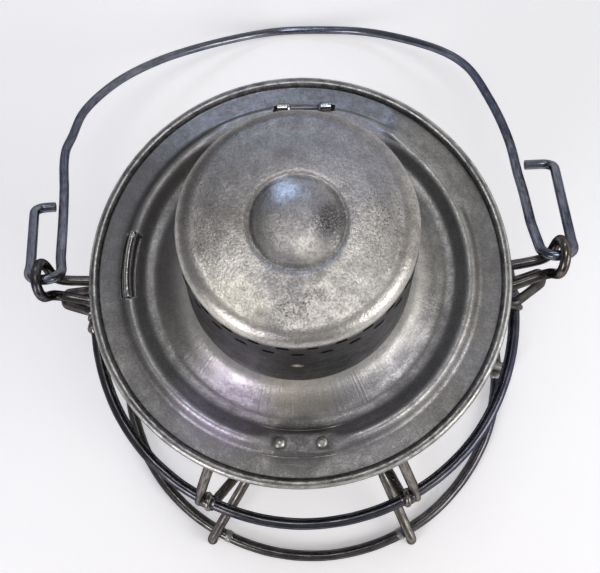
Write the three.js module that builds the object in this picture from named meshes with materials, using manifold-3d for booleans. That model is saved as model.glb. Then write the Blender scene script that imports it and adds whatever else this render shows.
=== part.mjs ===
import * as THREE from "three";
import { mergeVertices } from "three/addons/utils/BufferGeometryUtils.js";
import Module from "manifold-3d";

// Railroad hand lantern: a wire guard carries a sheet collar above and a fount well below,
// a hinged lid with a vented smoke dome closes the globe, and a swinging bail hangs in two wire eyes.
// Sizes are in millimetres. Heights are above the surface that the base ring stands on;
// the finished group is lowered so that its origin lies on the fount's flat underside.

const wasm = await Module();
wasm.setup();

// Shared values
const clearance = 0.3; // gap between pieces that touch or slide
const overrun = 3; // how far a cutter runs past the sheet that it cuts
const mergeGap = 0.0001; // vertices closer than this are one
const sheet = 0.8; // thickness of the pressed sheet
const wireSides = 8;
const uprightSides = 6;
const bendSteps = 3;

// Wire guard
const baseRadius = 86.8; // centre line of the ring that the lantern stands on
const baseWire = 2.5; // the wire sizes are radii
const guardRadius = 82;
const guardWire = 2.25;
const guardHeight = 127;
const uprightWire = 1.75;
const uprightCount = 6;
const uprightBend = 8; // bend radius of an upright at the collar, the guard ring and the well
const uprightTopDrop = 6; // from the collar's top edge to the upright's upper end
const uprightRun = 12; // straight length soldered along the collar
const uprightFootGap = 1; // from the ground to the hooked lower end
const wrapPitch = 4.2; // each upright wraps once round the guard ring and moves this far along it
const wrapSink = 0.7; // the wraps sit this deep in notches of the guard ring
const wrapSteps = 14;
const ringSegments = 32;
const turnedSegments = 28; // of the globe, the fount and the pieces inside the lid
const smallSegments = 24; // of the burner
const boreSides = 10;
const holeSides = 6;

// Collar below the lid
const collarRadius = 58;
const collarTop = 184;
const collarHeight = 26;
const collarRoll = 1.2; // radius of the rolled upper edge

// Fount well
const wellRadius = 49;
const wellBottom = 28;
const wellTop = 60;
const wellRunMargin = 5; // from the well's edges to the bends of the uprights
const seatDrop = 4; // from the well's top edge to the globe's seat
const seatHoleRadius = 19; // opening round the burner
const seatRim = 3;
const airHoleRadius = 2.2;
const airHoleCount = 12;
const airHoleShare = 0.55; // place of the air holes between the opening and the rim

// Globe
const globeProud = 1; // globe's top edge above the collar's
const globeFootRadius = 44;
const globeBulgeRadius = 54.5;
const globeNeckRadius = 43;
const globeWall = 3;

// Bail and the eyes that it swings in
const pivotDrop = 6; // from the collar's top edge to the bail's pivot
const eyeWire = 1.9;
const eyeRootDrop = 12.6; // from the pivot to the ends of the eye's wire
const eyeSteps = 30;
const bailWire = 1.95;
const bailInner = 87.2; // the bail's inner leg at the pivot
const bailBend = 6; // radius of the bend that hangs in the eye, up to the outer leg
const bailLength = 242.3; // pivot to the middle of the arch
const bailDip = 0.3; // the bend in the eye passes this far beyond the pivot
const bailTilt = 136.45; // degrees back from upright, as it lies on the ground
const bailAside = 5.65; // the pivot line lies this far behind the lantern's axis
const bailYaw = 1.4; // degrees that the pivot line turns from +X
const hookLeftLength = 58;
const hookRightLength = 75.6;
const hookLeftLean = 5.6; // how far the hooks lean out
const hookRightLean = 3.4;
const hookCorner = 4;
const archSteps = 32;
const bendSections = 6;
const stayWire = 1.8;
const stayOverhang = 32.5; // a stay's tip out from the collar
const stayTipShare = 0.4; // height of a stay's tip, from the guard ring up to the bail's pivot
const stayRootRise = 3; // a stay's root above the collar's lower edge

// Lid
const lidOverhang = 17; // the lid's edge out from the collar
const lidRimRise = 2.4; // from the collar's top edge to the middle of the lid's rolled rim
const rimRoll = 1.9;
const panRise = 10.6; // rolled rim to the foot of the dome
const panLip = 7; // upturned edge inside the dome
const lidSegments = 40;
const padRise = 1.1; // height of the flattened pads above the bead's feet
const frontPadAngle = 13; // half angles of the pads, in degrees
const backPadAngle = 32;
const padBlend = 5; // degrees over which a pad runs out into the bead
const platformAngles = [22, 59]; // degrees round from +X between which the bead slopes down to the rim

// Smoke dome
const domeRadius = 39.2;
const domeRise = 61; // foot of the dome to its flat top
const domeShoulder = 6.5;
const domeCrown = 1.2; // how far the top rises from the shoulder to the boss
const domeSteps = 4;
const bossRadius = 14.1;
const bossGroove = 0.6; // depth of the groove round the boss
const bossRise = 2.6;
const bossShares = [[1, 0], [0.75, 0.5], [0.4, 0.86], [0, 1]]; // its outline: radius and rise
const ventShares = [0.852, 0.721]; // places of the two rows of slots in the dome's rise
const ventCount = 26;
const ventTurn = -1; // degrees that the slots are turned from the front
const ventWidth = 4.1;
const ventHeight = 1.5;

// Draft baffle and globe retainer inside the lid
const baffleDrop = 26; // below the top of the dome
const baffleBore = 22;
const baffleRise = 7;
const retainerDrop = 2; // retainer's lower edge below the collar's top edge
const retainerGap = 2.2; // between the globe's neck and the retainer
const retainerFlangeShare = 0.42; // its flange, from the dome's foot to the lid's edge

// Lid hinge
const hingeStand = 4.5; // pivot of the hinge out from the collar
const hingeRise = 0.6; // pivot of the hinge above the collar's top edge
const hingeWire = 1;
const knuckleBore = 1.35;
const hingeHalfWidth = 9.6; // half the length of the hinge wire
const hingeAside = 2.7; // the hinge lies this far to the right of the lantern's axis
const knuckleHalfWidth = 3.8;
const knuckleWall = 0.8;
const leafDrop = 13;
const humpWall = 0.7;
const humpLength = 4.5;
const humpLift = 4.7; // the wire's ends lie this far above its middle

// Carrying strap lanced out of the bead, on the left
const strapAngle = 175.5; // degrees round from +X
const strapHalfAngle = 10.8;
const strapOuter = 2.7;
const strapInner = 1.9;
const strapSteps = 7;

// Latch and its rivets
const rivetSpacing = 14.6;
const rivetAside = -0.5; // the latch lies this far off the lantern's axis
const rivetShare = 0.572; // place of the rivets, from the dome's foot to the lid's edge
const rivetHead = 1.8;
const rivetShank = 1;
const rivetTail = 1.45; // radius of the closed end
const rivetSides = 12;
const rivetDome = 1.3;
const latchWidth = 21;
const latchPlateDepth = 4;
const springWidth = 12.6;
const latchThickness = 0.8;
const latchDrop = 15;
const latchLip = 2.5;

// Fount
const standGap = 6; // the fount's underside above the ground
const tankGap = 3; // between the fount and the well
const tankShoulderHeight = 36;
const tankTop = 43;
const tankCorner = 3; // slope at the tank's foot
const tankShoulder = 2;
const tankSlopeRun = 8; // flat round the neck
const neckRadius = 15;
const neckTop = 46;
const lugRadius = 1.6;
const lugHeight = 33;
const lugReach = 1.6; // how far a lug stands out of the well
const lugCount = 3;
const lugTurn = 15; // degrees from locked to free

// Burner
const burnerRingWidth = 2;
const burnerRadius = 14;
const burnerTop = 58;
const burnerTopRadius = 8;
const burnerSlope = 4; // height of the cone below the cap's top
const shaftHeight = 50;
const shaftRadius = 1.2;
const wheelRadius = 4;
const wheelRootShare = 0.78;
const wheelTeeth = 10;
const wheelThickness = 1.5;
const wheelSpacing = 6.4;
const knobRadius = 5.5;
const knobThickness = 3;
const knobStand = 5; // knob's inner face out from the well
const knobRidges = 16;
const knobRootShare = 0.93;
const wickWidth = 12.7;
const wickThickness = 1.6;
const wickBottom = 12;
const wickProud = 2; // wick above its tube
const tubeTop = 66;
const tubeBottom = 44.5;
const tubeWall = 0.6;

// Sizes that follow from the ones above
const bailMiddle = bailInner + bailBend; // middle of the bend in the eye
const bailOuter = bailMiddle + bailBend;
const stayReach = collarRadius + stayOverhang;
const collarSide = collarRadius + clearance + uprightWire;
const wellSide = wellRadius + clearance + uprightWire;
const wrapRadius = guardWire + uprightWire + clearance - wrapSink;
const guardSide = guardRadius - wrapRadius;
const hookRadius = baseWire + uprightWire + 2 * clearance;
const tankRadius = wellRadius - tankGap;
const seatHeight = wellTop - seatDrop;
const seatRadius = wellRadius - sheet - clearance;
const panNeck = domeRadius - sheet - clearance; // outside of the pan's upturned lip
const lidRadius = collarRadius + lidOverhang;
const hingeRadius = collarRadius + hingeStand;
const collarBottom = collarTop - collarHeight;
const globeTop = collarTop + globeProud;
const pivotHeight = collarTop - pivotDrop;
const eyeRootHeight = pivotHeight - eyeRootDrop;
const lidRimHeight = collarTop + lidRimRise;
const hingeHeight = collarTop + hingeRise;
const domeTop = lidRimHeight + panRise + domeRise;
const stayTipHeight = guardHeight + stayTipShare * (pivotHeight - guardHeight);
const stayRootHeight = collarBottom + stayRootRise;
const shaftOffset = wickThickness / 2 + clearance + wheelRadius;
const shaftEnd = wellRadius + knobStand + knobThickness;
const rivetPlace = panNeck + rivetShare * (lidRadius - panNeck);

const materials = {
  tinnedSteel: new THREE.MeshStandardMaterial({ color: 0x8b8884, roughness: 0.38, metalness: 0.9 }),
  darkWire: new THREE.MeshStandardMaterial({ color: 0x4a4c52, roughness: 0.42, metalness: 0.9 }),
  springSteel: new THREE.MeshStandardMaterial({ color: 0x5d5c5b, roughness: 0.4, metalness: 0.9 }),
  brass: new THREE.MeshStandardMaterial({ color: 0x9a7a3f, roughness: 0.45, metalness: 0.9 }),
  glass: new THREE.MeshStandardMaterial({
    color: 0xdfe8e6, roughness: 0.08, metalness: 0, transparent: true, opacity: 0.3,
  }),
  cotton: new THREE.MeshStandardMaterial({ color: 0xd8cfb8, roughness: 0.95, metalness: 0 }),
};

const lantern = new THREE.Group();
lantern.position.z = -standGap;

function addPiece(name, geometry, material) {
  const piece = new THREE.Mesh(geometry, material);
  piece.name = name;
  lantern.add(piece);
  return piece;
}

function at(radius, height, across = 0) {
  return new THREE.Vector3(radius, across, height);
}

// Joining and cutting

function solidOf(geometry) {
  const bare = geometry.index ? geometry.toNonIndexed() : geometry.clone();
  bare.deleteAttribute("normal");
  bare.deleteAttribute("uv");
  const merged = mergeVertices(bare, mergeGap);
  return new wasm.Manifold(new wasm.Mesh({
    numProp: 3,
    vertProperties: merged.attributes.position.array,
    triVerts: new Uint32Array(merged.index.array),
  }));
}

function geometryOf(solid) {
  const { vertProperties, triVerts } = solid.getMesh();
  const geometry = new THREE.BufferGeometry();
  geometry.setAttribute("position", new THREE.BufferAttribute(vertProperties, 3));
  geometry.setIndex(new THREE.BufferAttribute(triVerts, 1));
  geometry.computeVertexNormals();
  return geometry;
}

function carve(geometry, added, removed) {
  let solid = solidOf(geometry);
  for (const piece of added) solid = solid.add(solidOf(piece));
  for (const piece of removed) solid = solid.subtract(solidOf(piece));
  return geometryOf(solid);
}

// Revolved sheet and turned pieces: an outline of [radius, height] runs up the outside and down the inside.

function turned(outline, segments) {
  const points = outline.map(([radius, height]) => new THREE.Vector2(radius, height));
  if (outline[0][0] > 0) points.push(points[0].clone());
  return new THREE.LatheGeometry(points, segments).rotateX(Math.PI / 2);
}

function rod(radius, bottom, top, segments) {
  return turned([[0, bottom], [radius, bottom], [radius, top], [0, top]], segments);
}

function tubeBand(outer, inner, bottom, top, segments) {
  return turned([[outer, bottom], [outer, top], [inner, top], [inner, bottom]], segments);
}

// Wires

// A centre line through listed points; each point carries one section of the wire.
class WireLine extends THREE.Curve {
  constructor(points) {
    super();
    this.points = points;
  }

  getPoint(share, target = new THREE.Vector3()) {
    const place = share * (this.points.length - 1);
    const index = Math.min(Math.floor(place), this.points.length - 2);
    return target.lerpVectors(this.points[index], this.points[index + 1], place - index);
  }

  getPointAt(share, target) {
    return this.getPoint(share, target);
  }

  getTangentAt(share, target = new THREE.Vector3()) {
    const last = this.points.length - 1;
    const index = Math.round(share * last);
    const here = this.points[index];
    const before = this.points[Math.max(index - 1, 0)];
    const after = this.points[Math.min(index + 1, last)];
    const arriving = here.clone().sub(before).normalize();
    const leaving = after.clone().sub(here).normalize();
    return target.copy(arriving).add(leaving).normalize();
  }
}

// Straight runs between the corners, with an arc of the bend radius at each inner corner.
function bentLine(corners, bend, steps = bendSteps) {
  const line = [corners[0].clone()];
  for (let i = 1; i < corners.length - 1; i += 1) {
    const back = corners[i - 1].clone().sub(corners[i]);
    const ahead = corners[i + 1].clone().sub(corners[i]);
    const half = back.angleTo(ahead) / 2;
    const reach = Math.min(bend / Math.tan(half), back.length() / 2, ahead.length() / 2);
    const start = corners[i].clone().addScaledVector(back.normalize(), reach);
    const end = corners[i].clone().addScaledVector(ahead.normalize(), reach);
    const middle = back.clone().add(ahead).normalize().multiplyScalar(reach / Math.cos(half)).add(corners[i]);
    const sweep = Math.PI - 2 * half;
    const from = start.clone().sub(middle);
    const to = end.clone().sub(middle);
    for (let step = 0; step <= steps; step += 1) {
      const turn = (sweep * step) / steps;
      const point = from.clone().multiplyScalar(Math.sin(sweep - turn) / Math.sin(sweep));
      line.push(point.addScaledVector(to, Math.sin(turn) / Math.sin(sweep)).add(middle));
    }
  }
  line.push(corners[corners.length - 1].clone());
  return line;
}

function wireAlong(points, radius, sides = wireSides) {
  const section = [];
  for (let i = 0; i < sides; i += 1) {
    const turn = ((i + 0.5) * 2 * Math.PI) / sides;
    const corner = radius / Math.cos(Math.PI / sides);
    section.push(new THREE.Vector2(corner * Math.cos(turn), corner * Math.sin(turn)));
  }
  return new THREE.ExtrudeGeometry(new THREE.Shape(section), {
    steps: points.length - 1,
    extrudePath: new WireLine(points),
  });
}

// A ring of wire with flat facets below and above.
function wireRing(ringRadius, wireRadius, height, segments) {
  const corner = wireRadius / Math.cos(Math.PI / wireSides);
  const outline = [];
  for (let i = 0; i < wireSides; i += 1) {
    const turn = ((i + 0.5) * 2 * Math.PI) / wireSides - Math.PI / 2;
    outline.push([ringRadius + corner * Math.cos(turn), height + corner * Math.sin(turn)]);
  }
  return turned(outline, segments);
}

// Wire guard

// The turn round the guard ring, from where the wire arrives over the outside to where it leaves below.
function wrapLine(from, to) {
  const ring = new THREE.Vector2(guardRadius, guardHeight);
  const arriving = new THREE.Vector2(from.x, from.z).sub(ring);
  const leaving = new THREE.Vector2(to.x, to.z).sub(ring);
  const start = arriving.angle() - Math.acos(wrapRadius / arriving.length());
  const end = leaving.angle() - 4 * Math.PI + Math.acos(wrapRadius / leaving.length());
  const line = [];
  for (let step = 0; step <= wrapSteps; step += 1) {
    const turn = start + ((end - start) * step) / wrapSteps;
    const across = (wrapPitch * (start - turn)) / (2 * Math.PI);
    const radius = guardRadius + wrapRadius * Math.cos(turn);
    line.push(at(radius, guardHeight + wrapRadius * Math.sin(turn), across));
  }
  return line;
}

function uprightLine() {
  const hookSide = baseRadius + hookRadius;
  const wellLow = wellBottom + wellRunMargin;
  const aside = wrapPitch / 2;
  const slope = Math.atan2(wellLow - baseWire, baseRadius - wellSide)
    - Math.asin(hookRadius / Math.hypot(wellLow - baseWire, baseRadius - wellSide));
  const bend = at(collarSide, collarTop - uprightTopDrop - uprightRun);
  const wellHigh = at(wellSide, wellTop - wellRunMargin, aside);
  const wrap = wrapLine(bend, wellHigh);
  const upper = bentLine([at(collarSide, collarTop - uprightTopDrop), bend, wrap[0]], uprightBend);
  const reach = at(hookSide, wellLow - (hookSide - wellSide) * Math.tan(slope));
  const lower = bentLine([wrap[wrapSteps], wellHigh, at(wellSide, wellLow, aside), reach], uprightBend);
  const hook = bentLine([at(wellSide, wellLow, aside), reach, at(hookSide, uprightFootGap)], hookRadius);
  return [...upper.slice(0, -1), ...wrap, ...lower.slice(1, -1), ...hook.slice(1)];
}

function addGuard() {
  addPiece("base_ring", wireRing(baseRadius, baseWire, baseWire, ringSegments), materials.darkWire);
  const line = uprightLine();
  const upright = wireAlong(line, uprightWire, uprightSides);
  const room = wireAlong(line, uprightWire + clearance, uprightSides);
  const notches = [];
  for (let i = 0; i < uprightCount; i += 1) {
    const turn = (i * 2 * Math.PI) / uprightCount;
    notches.push(room.clone().rotateZ(turn));
    addPiece(`upright_${i + 1}`, upright, materials.darkWire).rotation.z = turn;
  }
  const ring = wireRing(guardRadius, guardWire, guardHeight, ringSegments);
  addPiece("guard_ring", carve(ring, [], notches), materials.darkWire);
}

// Collar, well, seat and globe

function addCollar() {
  const inside = collarRadius - sheet;
  const rollMiddle = collarTop - collarRoll;
  const outline = [
    [collarRadius, collarBottom],
    [collarRadius, rollMiddle],
    [collarRadius - collarRoll / 2, collarTop],
    [collarRadius - collarRoll, collarTop],
    [collarRadius - 2 * collarRoll, rollMiddle],
    [collarRadius - collarRoll, rollMiddle - collarRoll],
    [inside, rollMiddle - collarRoll],
    [inside, collarBottom],
  ];
  addPiece("collar_band", turned(outline, ringSegments), materials.tinnedSteel);
}

function polar(radius, degrees) {
  const turn = THREE.MathUtils.degToRad(degrees);
  return [radius * Math.cos(turn), radius * Math.sin(turn)];
}

// A block whose inner and outer faces run past the well's wall, at an angle round it.
function wellCutter(width, bottom, top, degrees) {
  const block = new THREE.BoxGeometry(2 * overrun, width, top - bottom);
  block.translate(wellRadius, 0, (top + bottom) / 2);
  return block.rotateZ(THREE.MathUtils.degToRad(degrees));
}

function lugAngle(index) {
  return 90 + (index * 360) / lugCount;
}

function addWell() {
  const slot = 2 * (lugRadius + clearance);
  const run = 2 * wellRadius * Math.sin(THREE.MathUtils.degToRad(lugTurn / 2));
  const below = wellBottom - overrun;
  const cuts = [];
  for (let i = 0; i < lugCount; i += 1) {
    cuts.push(wellCutter(slot, below, lugHeight + slot / 2, lugAngle(i) - lugTurn));
    cuts.push(wellCutter(run + slot, lugHeight - slot / 2, lugHeight + slot / 2, lugAngle(i) - lugTurn / 2));
  }
  const doorMargin = 2 * clearance + shaftRadius;
  const doorRun = 2 * wellRadius * Math.sin(THREE.MathUtils.degToRad(lugTurn / 2)) + 2 * doorMargin;
  const shaftAngle = THREE.MathUtils.radToDeg(Math.asin(shaftOffset / wellRadius)) - 90;
  cuts.push(wellCutter(doorRun, below, shaftHeight + doorMargin, shaftAngle - lugTurn / 2));
  const band = tubeBand(wellRadius, wellRadius - sheet, wellBottom, wellTop, ringSegments);
  addPiece("fount_well", carve(band, [], cuts), materials.tinnedSteel);
}

function addSeat() {
  const rimTop = seatHeight + sheet + seatRim;
  const outline = [
    [seatHoleRadius, seatHeight],
    [seatRadius, seatHeight],
    [seatRadius, rimTop],
    [seatRadius - sheet, rimTop],
    [seatRadius - sheet, seatHeight + sheet],
    [seatHoleRadius, seatHeight + sheet],
  ];
  const ringPlace = seatHoleRadius + airHoleShare * (seatRadius - seatHoleRadius);
  const holes = [];
  for (let i = 0; i < airHoleCount; i += 1) {
    const [x, y] = polar(ringPlace, (i * 360) / airHoleCount);
    const hole = rod(airHoleRadius, seatHeight - overrun, seatHeight + overrun, holeSides);
    holes.push(hole.translate(x, y, 0));
  }
  addPiece("globe_seat", carve(turned(outline, ringSegments), [], holes), materials.tinnedSteel);
}

function addGlobe() {
  const foot = seatHeight + sheet + clearance;
  const height = globeTop - foot;
  // Shares of the globe's height, and of the way from the foot or neck radius to the bulge.
  const sideShares = [[0, 0], [0.07, 0.03], [0.16, 0.3], [0.3, 0.85], [0.42, 1]];
  const upperShares = [[0.56, 0.9], [0.7, 0.52], [0.82, 0.14], [1, 0]];
  const outer = [
    ...sideShares.map(([up, out]) => [
      globeFootRadius + out * (globeBulgeRadius - globeFootRadius), foot + up * height,
    ]),
    ...upperShares.map(([up, out]) => [
      globeNeckRadius + out * (globeBulgeRadius - globeNeckRadius), foot + up * height,
    ]),
  ];
  const inner = outer.map(([radius, level]) => [radius - globeWall, level]).reverse();
  addPiece("globe", turned([...outer, ...inner], turnedSegments), materials.glass);
}

// Eyes, stays and bail

// How far a point of an eye or stay lies aside, so that it reaches the pivot line at the bail's bend.
function leanAt(radius, side) {
  const turn = THREE.MathUtils.degToRad(bailYaw);
  const full = side * bailAside + bailMiddle * Math.sin(turn);
  return (full * (radius - collarRadius)) / (bailMiddle - collarRadius);
}

function eye(turnSide) {
  // Out from the bend's middle in shares of the room that the wires leave there, and up and across in
  // shares of the two wires' thickness, from beside the inner leg to the tip beyond the bend.
  const routeShares = [
    [-2.54, -2.7, 0.79], [-1.29, -2.05, 0.95], [-0.57, -1.1, 1.32], [-0.14, -0.32, 1.55],
    [0.36, 0.53, 1.45], [0.82, 1.21, 0.79], [1, 1.37, 0],
  ];
  const wires = eyeWire + bailWire;
  const room = bailBend - wires - 1.5 * clearance;
  const strand = uprightWire + clearance + eyeWire + clearance / 2;
  const root = collarRadius + clearance + eyeWire;
  const half = (side) => [
    at(root, eyeRootHeight, side * strand),
    at((root + bailInner) / 2, eyeRootHeight, side * strand),
    ...routeShares.map(([out, up, across]) => {
      return at(bailMiddle + out * room, pivotHeight + up * wires, side * across * wires);
    }),
  ];
  const line = [...half(-1), ...half(1).reverse().slice(1)];
  const leaning = line.map((point) => {
    return at(point.x, point.z, point.y + leanAt(point.x, turnSide) - leanAt(root, turnSide));
  });
  const smooth = new THREE.CatmullRomCurve3(leaning, false, "centripetal");
  return wireAlong(smooth.getPoints(eyeSteps), eyeWire);
}

function stay(turnSide) {
  const across = uprightWire + clearance + stayWire + clearance / 2;
  const pinch = stayWire + clearance;
  const root = collarRadius + clearance;
  const middle = (2 * stayRootHeight + stayTipHeight) / 3;
  const tipLean = leanAt(stayReach, turnSide);
  const corners = [
    at(root, stayRootHeight, -across),
    at(guardSide, middle, -across),
    at(stayReach, stayTipHeight, tipLean - pinch),
    at(stayReach, stayTipHeight, tipLean + pinch),
    at(guardSide, middle, across),
    at(root, stayRootHeight, across),
  ];
  return wireAlong(bentLine(corners, pinch), stayWire);
}

function addEars() {
  const sides = [["left", Math.PI, -1], ["right", 0, 1]];
  for (const [side, turn, turnSide] of sides) {
    addPiece(`ear_${side}`, eye(turnSide), materials.darkWire).rotation.z = turn;
    addPiece(`ear_stay_${side}`, stay(turnSide), materials.darkWire).rotation.z = turn;
  }
}

// The bend that hangs in an eye: half a turn from one leg to the other, beyond the pivot by the dip.
function eyeBend(from, to, steps) {
  const radius = Math.abs(to - from) / 2;
  const line = [];
  for (let step = 0; step <= steps; step += 1) {
    const turn = (step * Math.PI) / steps;
    const x = (from + to) / 2 + ((from - to) / 2) * Math.cos(turn);
    line.push(new THREE.Vector3(x, radius - bailDip - radius * Math.sin(turn), 0));
  }
  return line;
}

// The bail is laid out flat, x across and y away from the pivot, then tilted back about the pivot.
function addBail() {
  const archShares = [
    [-1.019, 0.065], [-1.051, 0.178], [-1.09, 0.301], [-1.127, 0.4], [-1.14, 0.462], [-1.129, 0.515],
    [-1.103, 0.636], [-0.961, 0.776], [-0.765, 0.871], [-0.551, 0.932], [-0.272, 0.984], [-0.1, 1],
    [0.072, 0.998], [0.356, 0.976], [0.575, 0.926], [0.781, 0.849], [0.895, 0.765], [0.972, 0.59],
    [1.005, 0.413], [1, 0.282], [1, 0.22], [0.993, 0.105],
  ];
  const flat = (x, y) => new THREE.Vector3(x, y, 0);
  const stub = (bailOuter - bailInner) / 2 + hookCorner;
  const leftHook = bentLine([
    flat(-bailInner - hookLeftLean - 2 * bailWire, hookLeftLength),
    flat(-bailOuter - hookLeftLean, hookLeftLength),
    flat(-bailOuter, stub),
  ], hookCorner);
  const rightHook = bentLine([
    flat(bailOuter, stub),
    flat(bailOuter + hookRightLean, hookRightLength),
    flat(bailInner + 2 * bailWire, hookRightLength),
  ], hookCorner);
  const arch = archShares.map(([across, along]) => flat(across * bailInner, along * bailLength));
  const smooth = new THREE.CatmullRomCurve3(arch, false, "centripetal").getPoints(archSteps);
  const leftBend = eyeBend(-bailOuter, -bailInner, bendSections);
  const rightBend = eyeBend(bailInner, bailOuter, bendSections);
  const line = [...leftHook, ...leftBend, ...smooth, ...rightBend, ...rightHook];
  const shape = wireAlong(line, bailWire);
  shape.rotateX(Math.PI / 2 - THREE.MathUtils.degToRad(bailTilt));
  const bail = addPiece("bail", shape, materials.darkWire);
  bail.position.set(0, bailAside, pivotHeight);
  bail.rotation.z = THREE.MathUtils.degToRad(bailYaw);
}

// Lid pan

// Shares of the way from the dome's foot to the lid's edge, and of the pan's rise above the rim.
const panShares = [
  [0.895, 0.05], [0.71, 0.14], [0.68, 0.18], [0.645, 0.42], [0.605, 0.5],
  [0.545, 0.46], [0.49, 0.25], [0.455, 0.15], [0.36, 0.16], [0.3, 0.27], [0.2, 0.6], [0.1, 0.88],
];
const beadCrestShare = 0.605;
const beadCrestLevel = 0.5;
const beadFootShares = [0.455, 0.71];
const beadFootShare = 0.145; // level of the bead's feet

function panRadius(share) {
  return panNeck + share * (lidRadius - panNeck);
}

function panHeight(share) {
  return lidRimHeight + share * panRise;
}

// How far a pad flattens the bead at a place round the lid: 0 outside it, 1 on it.
function padShare(x, y) {
  const fromFront = THREE.MathUtils.radToDeg(Math.atan2(Math.abs(x), -y));
  const fromBack = THREE.MathUtils.radToDeg(Math.atan2(Math.abs(x), y));
  const front = 1 - THREE.MathUtils.smoothstep(fromFront, frontPadAngle - padBlend, frontPadAngle + padBlend);
  const back = 1 - THREE.MathUtils.smoothstep(fromBack, backPadAngle - padBlend, backPadAngle + padBlend);
  return Math.max(front, back);
}

// How far the platform fills the band at a place round the lid.
function platformShare(x, y) {
  const turn = THREE.MathUtils.radToDeg(Math.atan2(y, x));
  const [start, end] = platformAngles;
  const rising = THREE.MathUtils.smoothstep(turn, start - padBlend, start + padBlend);
  return rising * (1 - THREE.MathUtils.smoothstep(turn, end - padBlend, end + padBlend));
}

// Level of the platform: straight from the bead's crest down to the band's outer edge.
function slopeHeight(radius) {
  const [[edgeOut, edgeUp]] = panShares;
  const share = THREE.MathUtils.mapLinear(radius, panRadius(beadCrestShare), panRadius(edgeOut), 0, 1);
  return THREE.MathUtils.lerp(panHeight(beadCrestLevel), panHeight(edgeUp), share);
}

// Flattens the bead on the pads to a level just above its feet and raises the platform,
// on the upper and lower face alike.
function pressPan(pan, column, underStart) {
  const place = pan.attributes.position;
  const level = panHeight(beadFootShare) + padRise;
  for (let i = 0; i < place.count; i += 1) {
    const [x, y] = [place.getX(i), place.getY(i)];
    const radius = Math.hypot(x, y);
    const depth = i % column < underStart ? 0 : sheet;
    let z = place.getZ(i);
    if (radius > panRadius(beadFootShares[0]) && radius < panRadius(beadFootShares[1])) {
      z -= Math.max(z + depth - level, 0) * padShare(x, y);
    }
    if (radius > panRadius(beadCrestShare) && radius < panRadius(panShares[0][0])) {
      z += Math.max(slopeHeight(radius) - depth - z, 0) * platformShare(x, y);
    }
    place.setZ(i, z);
  }
  return pan;
}

function panBlank() {
  const lip = lidRimHeight + panRise + panLip;
  const rimMiddle = lidRadius - rimRoll;
  const slant = rimRoll * Math.SQRT1_2;
  const rim = [
    [rimMiddle, lidRimHeight - rimRoll],
    [rimMiddle + slant, lidRimHeight - slant],
    [lidRadius, lidRimHeight],
    [rimMiddle + slant, lidRimHeight + slant],
    [rimMiddle, lidRimHeight + rimRoll],
    [rimMiddle - slant, lidRimHeight + slant],
  ];
  const over = panShares.map(([out, up]) => [panRadius(out), panHeight(up)]);
  const under = panShares.map(([out, up]) => [panRadius(out), panHeight(up) - sheet]).reverse();
  const neck = [
    [panNeck, panHeight(1)], [panNeck, lip], [panNeck - sheet, lip], [panNeck - sheet, panHeight(1) - sheet],
  ];
  const outline = [...rim, ...over, ...neck, ...under];
  const column = outline.length + 1;
  return pressPan(turned(outline, lidSegments), column, rim.length + over.length + neck.length);
}

// Centre line of the hinge wire: its middle lies under the pan, its ends rise into the two humps.
function hingeLine(halfLength) {
  const kinkInner = knuckleHalfWidth + 4 * clearance;
  const kinkOuter = hingeHalfWidth - humpLength + clearance;
  const low = hingeHeight;
  const high = hingeHeight + humpLift;
  const corners = [
    [-halfLength, high], [-kinkOuter - clearance, high], [-kinkInner, low],
    [kinkInner, low], [kinkOuter + clearance, high], [halfLength, high],
  ];
  return bentLine(corners.map(([x, z]) => at(hingeAside + x, z, hingeRadius)), hingeWire, 2);
}

function hump(side, radius, stretch) {
  const inner = hingeHalfWidth - humpLength - stretch;
  const outer = hingeHalfWidth + stretch;
  const height = hingeHeight + humpLift;
  const line = [
    at(hingeAside + side * inner, height, hingeRadius),
    at(hingeAside + side * outer, height, hingeRadius),
  ];
  return wireAlong(side > 0 ? line : line.reverse(), radius, boreSides);
}

function strapLine(extraDegrees) {
  const radius = panRadius(beadCrestShare);
  const half = strapHalfAngle + extraDegrees;
  const line = [];
  for (let i = 0; i <= strapSteps; i += 1) {
    const [x, y] = polar(radius, strapAngle - half + (2 * half * i) / strapSteps);
    line.push(at(x, panHeight(beadCrestLevel), y));
  }
  return line;
}

function rivetPlaces() {
  const half = rivetSpacing / 2;
  return [["left", rivetAside - half, -rivetPlace], ["right", rivetAside + half, -rivetPlace]];
}

function padTop() {
  return panHeight(beadFootShare) + padRise;
}

function addLidPan() {
  const humpBore = hingeWire + clearance;
  const added = [
    hump(-1, humpBore + humpWall, 0),
    hump(1, humpBore + humpWall, 0),
    wireAlong(strapLine(0), strapOuter, boreSides),
  ];
  const removed = [
    wireAlong(hingeLine(hingeHalfWidth + overrun), humpBore, wireSides),
    wireAlong(strapLine(1), strapInner, wireSides),
  ];
  for (const [, x, y] of rivetPlaces()) {
    const hole = rod(rivetShank + clearance, lidRimHeight - overrun, lidRimHeight + panRise, wireSides);
    removed.push(hole.translate(x, y, 0));
  }
  addPiece("lid_pan", carve(panBlank(), added, removed), materials.tinnedSteel);
}

// Smoke dome

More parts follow.
